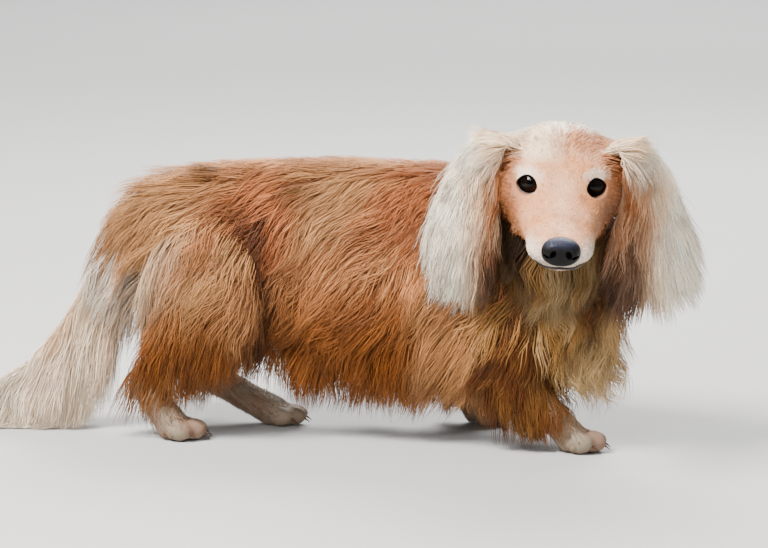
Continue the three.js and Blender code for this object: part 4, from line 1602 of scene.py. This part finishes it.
def camera_axes() -> tuple[Array, Array, Array]:
    """The camera's right, up and backward directions.

    Returns:
        Three unit vectors of the dog's frame.
    """
    a, e = math.radians(CAMERA_TURN), math.radians(CAMERA_RISE)
    right = np.array([math.cos(a), math.sin(a), 0])
    back = np.array([math.sin(a) * math.cos(e), -math.cos(a) * math.cos(e), math.sin(e)])
    return right, np.cross(back, right), back


def ball_at(name: str, at: Array, radius: float, offset: Array, detail: int,
            half: Sequence[float] = (1, 1, 1)) -> bpy.types.Object:
    """A ball, or one squeezed to three half sizes, in the row frame.

    Args:
        name: the object's name.
        at: the middle in the dog's frame.
        radius: the radius.
        offset: the way from the dog's frame to the row frame.
        detail: the number of segments round it.
        half: what the radius is multiplied by along X, Y and Z.

    Returns:
        The ball's object.
    """
    bpy.ops.object.select_all(action="DESELECT")
    bpy.ops.mesh.primitive_uv_sphere_add(segments=detail, ring_count=detail * 2 // 3, radius=1)
    obj = bpy.context.object
    obj.name = name
    size = Matrix.Diagonal((*(np.array(half) * radius * MM), 1))
    place = Matrix.Translation((np.asarray(at) + offset) * MM) @ size
    bpy.ops.object.mode_set(mode="OBJECT")
    obj.data.transform(place)
    return obj


EYE_HALF = (10.8, 8.2)
ALMOND = (
    (-10.8, -0.6), (-7.2, 5.2), (-0.5, 8.2), (6.2, 6.2),
    (10.6, 0.4), (6.4, -5.4), (-0.6, -7.6), (-7.2, -5.4),
)


def almond(side: float, count: int = 48) -> Array:
    """Points of an eye's opening on a sphere just outside the eyeball, in the dog's frame.

    Args:
        side: 1 for the left eye and -1 for the right.
        count: how many points to make.

    Returns:
        The points, in order round the opening.
    """
    flat = np.array([(side * x, y) for x, y in ALMOND])
    keys = np.column_stack([flat, np.zeros((len(flat), 2))])
    n = len(keys)
    t = np.linspace(0, n, count, endpoint=False)
    i = t.astype(int)
    f = (t - i)[:, None]
    a, b, c, d = (keys[(i + k) % n] for k in (-1, 0, 1, 2))
    ring = spline(a, b, c, d, f)[0]
    look, wide, high = eye_axes(side)
    reach = EYE_BALL + 0.9
    lift = np.sqrt(np.maximum(reach**2 - ring[:, 0] ** 2 - ring[:, 1] ** 2, 1))
    return eye_at(side) + ring[:, :1] * wide + ring[:, 1:2] * high + lift[:, None] * look


def eye_axes(side: float) -> tuple[Array, Array, Array]:
    """The direction that an eye's opening faces, and its two directions across.

    Args:
        side: 1 for the left eye and -1 for the right.

    Returns:
        Where it looks, and its two directions across, in the dog's frame.
    """
    look = unit(np.array([0.9, side * 0.3, 0.08]))
    wide = unit(np.cross([0, 0, 1.0], look))
    high = np.cross(look, wide)
    return tuple(v @ HEAD_AXES.T for v in (look, wide, high))


def eye_opening(side: float, offset: Array) -> bpy.types.Object:
    """A prism through the lids, with the almond's outline.

    Args:
        side: 1 for the left eye and -1 for the right.
        offset: the way from the dog's frame to the row frame.

    Returns:
        The prism's object.
    """
    ring = almond(side)
    look = eye_axes(side)[0]
    n = len(ring)
    middle = eye_at(side)
    inner = ring - look * ((ring - middle) @ look)[:, None]
    outer = inner + look * 30
    faces = [tuple(range(n)), tuple(range(2 * n - 1, n - 1, -1))]
    faces += [(k, k + n, (k + 1) % n + n, (k + 1) % n) for k in range(n)]
    obj = solid("opening", np.concatenate([inner, outer]), faces, offset)
    select_only(obj)
    bpy.ops.object.mode_set(mode="EDIT")
    bpy.ops.mesh.select_all(action="SELECT")
    bpy.ops.mesh.normals_make_consistent(inside=False)
    bpy.ops.object.mode_set(mode="OBJECT")
    return obj


def tube(name: str, path: Array, radius: Array | float, offset: Array, finish: bpy.types.Material,
         closed: bool = False, sides: int = 10) -> bpy.types.Object:
    """A tube along a path, with one radius or one for each point.

    Args:
        name: the object's name.
        path: the points in the dog's frame, in millimetres.
        radius: the tube's radius.
        offset: the way to the row frame.
        finish: its material.
        closed: whether the last point joins the first.
        sides: corners of the section.

    Returns:
        The tube's object.
    """
    count = len(path)
    ahead = unit(np.roll(path, -1, 0) - np.roll(path, 1, 0)) if closed else unit(np.gradient(path, axis=0))
    guide = np.array([0.2, 0.3, 0.93])
    side = unit(np.cross(ahead, guide))
    high = np.cross(side, ahead)
    angle = np.linspace(0, 2 * math.pi, sides, endpoint=False)
    size = np.broadcast_to(np.asarray(radius, float), count)[:, None, None]
    ring = np.cos(angle)[None, :, None] * side[:, None] + np.sin(angle)[None, :, None] * high[:, None]
    verts = ((path[:, None] + ring * size).reshape(-1, 3) + offset) * MM
    tris = []
    for i in range(count if closed else count - 1):
        j = (i + 1) % count
        for k in range(sides):
            here, there, k2 = i * sides + k, j * sides + k, (k + 1) % sides
            tris += [(here, j * sides + k2, i * sides + k2), (here, there, j * sides + k2)]
    if not closed:
        tris += [(0, k, k + 1) for k in range(1, sides - 1)]
        last = (count - 1) * sides
        tris += [(last, last + k + 1, last + k) for k in range(1, sides - 1)]
    return mesh_object(name, verts, np.array(tris), finish)


@dataclass
class Face:
    """The eyes, lids, nose and lips.

    Sizes are in millimetres. The eye's edges are in degrees from where it looks, and the cornea stands out
    by a share of the eyeball's radius.
    """

    offset: Array
    rim_thick: float = 0.85
    lip_thick: float = 1.1
    cornea: float = 0.05
    cornea_edge: tuple[float, float] = (36, 12)
    pupil_edge: tuple[float, float] = (21, 17)
    iris_in: tuple[float, float] = (16, 26)
    iris_out: tuple[float, float] = (38, 30)
    eye_edge: tuple[float, float] = (34, 42)
    eye_light: float = 0.03
    nose_voxel: float = 0.7
    nose_light: float = 0.3

    def eyes(self, finish: bpy.types.Material, rim: bpy.types.Material) -> list[bpy.types.Object]:
        """Two dark eyes that look at the camera, each with a dark rim round its lids.

        Args:
            finish: the eyeballs' material.
            rim: the rims' material.

        Returns:
            The left eyeball and rim, then the right ones.
        """
        made = []
        camera = CAMERA_AIM + camera_axes()[2] * CAMERA_FAR
        for side, name in ((1, "left"), (-1, "right")):
            at = eye_at(side)
            eye = ball_at(f"eyeball_{name}", at, EYE_BALL, self.offset, 96)
            look = unit(camera - at)
            verts = points_of(eye, self.offset) - at
            ahead = unit(verts) @ look
            angle = np.degrees(np.arccos(np.clip(ahead, -1, 1)))
            bulge = 1 + self.cornea * smooth(*self.cornea_edge, angle)
            for v, p, b in zip(eye.data.vertices, verts, bulge):
                v.co = (at + p * b + self.offset) * MM
            iris = smooth(*self.iris_out, angle) * smooth(*self.iris_in, angle)
            tone = np.tile(Tone.UMBER.rgb * self.eye_light, (len(verts), 1))
            tone = blend(tone, Tone.UMBER, self.eye_light * iris)
            tone = tone * (1 - 0.97 * smooth(*self.pupil_edge, angle))[:, None]
            tone = tone * (1 - 0.6 * smooth(*self.eye_edge, angle))[:, None]
            paint(eye, tone)
            dress(eye, finish)
            made.append(eye)
            rim_path = almond(side, 64)
            made.append(tube(f"lid_rim_{name}", rim_path, self.rim_thick, self.offset, rim, closed=True))
        return made

    def lips(self, finish: bpy.types.Material) -> bpy.types.Object:
        """The dark edge of the upper lips along the mouth line.

        Args:
            finish: the material.

        Returns:
            The lips' object.
        """
        half = np.array([
            (84.5, 0, -45.5), (80, 7.6, -46.6), (70, 15, -47.4), (54, 21, -47.2), (36, 25.5, -47),
        ], float)
        path = np.vstack([(half * (1, -1, 1))[:0:-1], half])
        keys = Stations(path, np.ones(len(path)), np.ones(len(path)), np.ones(len(path)))
        line = keys.curve(90)[0]
        radius = self.lip_thick * np.sin(np.linspace(0.1, math.pi - 0.1, 90))
        return tube("lips", from_head(line), radius, self.offset, finish)

    def nose(self, finish: bpy.types.Material, body: Body) -> bpy.types.Object:
        """The nose leather with its nostrils, their side slits and the groove between them.

        Args:
            finish: the material.
            body: the body, for its way of cutting.

        Returns:
            The nose's object.
        """
        loft = Loft(NOSE, square=2.3, caps=(0.3, 0.3), place=from_head, rings=20, sides=64)
        nose = solid("nose_leather", loft.grid.reshape(-1, 3), loft.faces(0), self.offset)
        body.change(nose, "REMESH", mode="VOXEL", voxel_size=self.nose_voxel * MM)
        for side in (1, -1):
            for at, half, roll, yaw in (
                ((94, side * 6.4, -32.5), (5.5, 2.2, 3.6), 0.5, 0.35),
                ((91, side * 11.5, -34.5), (5, 3.4, 1.1), 0.35, 0),
            ):
                hole = ball_at("nostril", np.zeros(3), 1.0, np.zeros(3), 24, half)
                spin = Matrix.Rotation(side * yaw, 4, "Z") @ Matrix.Rotation(side * roll, 4, "X")
                hole.data.transform(head_place(at, self.offset) @ spin)
                body.cut(nose, hole)
        groove = ball_at("groove", np.zeros(3), 1.0, np.zeros(3), 24, (3.0, 0.8, 7.0))
        groove.data.transform(head_place((96.0, 0, -39.5), self.offset))
        body.cut(nose, groove)
        body.change(nose, "SMOOTH", factor=0.5, iterations=4)
        dress(nose, finish)
        verts = points_of(nose, self.offset)
        tone = np.tile(Tone.SOOT.rgb * self.nose_light, (len(verts), 1))
        # A bluish painted sheen on the upper half of the nose.
        paint(nose, blend(tone, Tone.NOSE_SHEEN, 0.35 * smooth(-30, -21, to_head(verts)[:, 2])))
        return nose


@dataclass
class Claws:
    """Sixteen short dark claws."""

    offset: Array
    long: float = 9.0
    thick: float = 2.0

    def build(self, finish: bpy.types.Material) -> bpy.types.Object:
        """One mesh of every claw, each bent down a little to its tip.

        Args:
            finish: the material.

        Returns:
            The claws' object.
        """
        verts, tris, start, sides = [], [], 0, 10
        for leg in LEGS:
            for forward, side, _ in TOES:
                root = np.array([leg.toes[0] + 14.0 + forward, leg.toes[1] + side * 0.95, 8.0])
                t = np.linspace(0, 1, 5)
                path = root + np.outer(t, [self.long, side * 0.05, 0]) - np.outer(t**2, [0, 0, 4.6])
                size = self.thick * (1 - t * 0.88)
                angle = np.linspace(0, 2 * math.pi, sides, endpoint=False)
                ring = np.stack([np.zeros(sides), np.cos(angle) * 0.7, np.sin(angle)], 1)
                verts.append((path[:, None] + ring[None] * size[:, None, None]).reshape(-1, 3))
                for i in range(4):
                    for k in range(sides):
                        a, b = start + i * sides + k, start + i * sides + (k + 1) % sides
                        tris += [(a, b, b + sides), (a, b + sides, a + sides)]
                tris += [(start, start + k + 1, start + k) for k in range(1, sides - 1)]
                end = start + 4 * sides
                tris += [(end, end + k, end + k + 1) for k in range(1, sides - 1)]
                start += 5 * sides
        return mesh_object("claws", (np.concatenate(verts) + self.offset) * MM, np.array(tris), finish)


@dataclass(frozen=True)
class Softbox:
    """A square studio light that points at the dog."""

    name: str
    at: tuple[float, float, float]
    power: float
    size: float
    colour: tuple[float, float, float] = (1, 1, 1)
    mirrored: bool = True
    aim: tuple[float, float, float] = (0.0, 0.0, 0.15)

    def build(self) -> bpy.types.Object:
        """The light in its place.

        Returns:
            The light's object.
        """
        data = bpy.data.lights.new(self.name, "AREA")
        data.energy, data.size, data.color = self.power, self.size, self.colour
        obj = bpy.data.objects.new(self.name, data)
        obj.location = self.at
        obj.visible_glossy = self.mirrored
        obj.rotation_euler = (Vector(self.aim) - Vector(self.at)).to_track_quat("-Z", "Y").to_euler()
        bpy.context.scene.collection.objects.link(obj)
        return obj


LIGHTS = (
    Softbox("key", (-1.3, -1.3, 2.4), 330, 1.1, (1, 0.97, 0.92)),
    Softbox("fill", (0.6, -2.8, 0.8), 26, 1.8, (1, 0.98, 0.96), mirrored=False),
    Softbox("rim", (0.4, 1.9, 2.1), 110, 1.6, (1, 0.98, 0.95)),
    Softbox("glint", (-0.3, -2.1, 1.7), 30, 0.5),
    Softbox("ceiling", (0.0, 5.6, 4.5), 800, 6.0, aim=(0.0, 5.6, 0.0)),
)


@dataclass
class Studio:
    """The camera, a pale floor and soft light."""

    offset: Array
    floor_size: float = 60.0
    floor_tone: tuple[float, float, float, float] = (0.42, 0.42, 0.415, 1)
    sky_tone: tuple[float, float, float, float] = (0.9, 0.91, 0.92, 1)
    sky_strength: float = 0.45
    sight: float = 50.0

    def camera(self) -> bpy.types.Object:
        """A camera at the photo's angle, with its framing.

        Returns:
            The camera's object.
        """
        right, up, back = camera_axes()
        data = bpy.data.cameras.new("camera")
        data.sensor_width = SENSOR
        data.lens = CAMERA_FAR / PIXEL_MM / PHOTO_WIDE * SENSOR
        data.clip_end = self.sight
        obj = bpy.data.objects.new("camera", data)
        place = Matrix(np.column_stack([right, up, back]).tolist()).to_4x4()
        place.translation = (CAMERA_AIM + back * CAMERA_FAR + self.offset) * MM
        obj.matrix_world = place
        bpy.context.scene.collection.objects.link(obj)
        bpy.context.scene.camera = obj
        return obj

    def build(self) -> None:
        """Lights, world and floor."""
        for light in LIGHTS:
            light.build()
        world = bpy.data.worlds.new("world")
        world.use_nodes = True
        sky = world.node_tree.nodes["Background"]
        sky.inputs["Color"].default_value = self.sky_tone
        sky.inputs["Strength"].default_value = self.sky_strength
        bpy.context.scene.world = world
        bpy.ops.object.select_all(action="DESELECT")
        bpy.ops.mesh.primitive_plane_add(size=self.floor_size)
        floor = bpy.context.object
        floor.name = "floor"
        made = bpy.data.materials.new("floor_finish")
        made.use_nodes = True
        shader = made.node_tree.nodes["Principled BSDF"]
        shader.inputs["Base Color"].default_value = self.floor_tone
        shader.inputs["Roughness"].default_value = 0.9
        floor.data.materials.append(made)
        floor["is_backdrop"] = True


def main() -> None:
    """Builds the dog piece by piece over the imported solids."""
    logging.basicConfig(level=logging.INFO, format="%(message)s")
    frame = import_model()
    sizes = {"frame": [list(corner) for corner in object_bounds()]}
    low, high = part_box("eye_right")
    offset = np.array((low + high) / 2) / MM - eye_at(-1)
    log.info("offset %s", np.round(offset, 2))

    studio = Studio(offset)
    studio.camera()
    studio.build()

    body = Body(offset)
    skin = body.skin(Finish("skin_finish", 0.7, bump=0.5, mottle=0.12).build())
    log.info("skin: %d faces", len(skin.data.polygons))
    tree = body.tree(skin)
    coat_finish = Finish("coat_finish", 0.55, specular=0.22, mottle=0.08).build()
    coats = []
    pieces = [skin]
    for coat in body.coats(tree, 1.0):
        made = coat.build(tree, offset, coat_finish)
        coats.append(coat)
        pieces += made
        count = sum(len(obj.data.polygons) for obj in made)
        log.info("%s: %d tufts, %d triangles", coat.name, len(coat.roots), count)
    body.paint_skin(skin, coats)

    face = Face(offset)
    leather = Finish("leather_finish", 0.4, specular=0.15, coat=0.03, bump=0.8, bump_scale=1500).build()
    rim = Finish("rim_finish", 0.4, Tone.SOOT).build()
    eyes = face.eyes(Finish("eye_finish", 0.06, specular=0.15).build(), rim)
    pieces += eyes
    nose = face.nose(leather, body)
    claws = Claws(offset).build(Finish("claw_finish", 0.45, Tone.UMBER).build())
    pieces += [nose, face.lips(rim), claws]
    log.info("face and claws done")

    for piece in pieces:
        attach(piece, "root")
    flesh = [n for n in frame["nodes"] if n not in ("nose", "eye_left", "eye_right")]
    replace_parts(skin, *flesh)
    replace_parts(nose, "nose")
    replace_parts(eyes[0], "eye_left")
    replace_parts(eyes[2], "eye_right")
    sizes["model"] = [list(corner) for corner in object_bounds()]
    log.info("all pieces in place: %s", sizes)


if __name__ == "__main__":
    main()
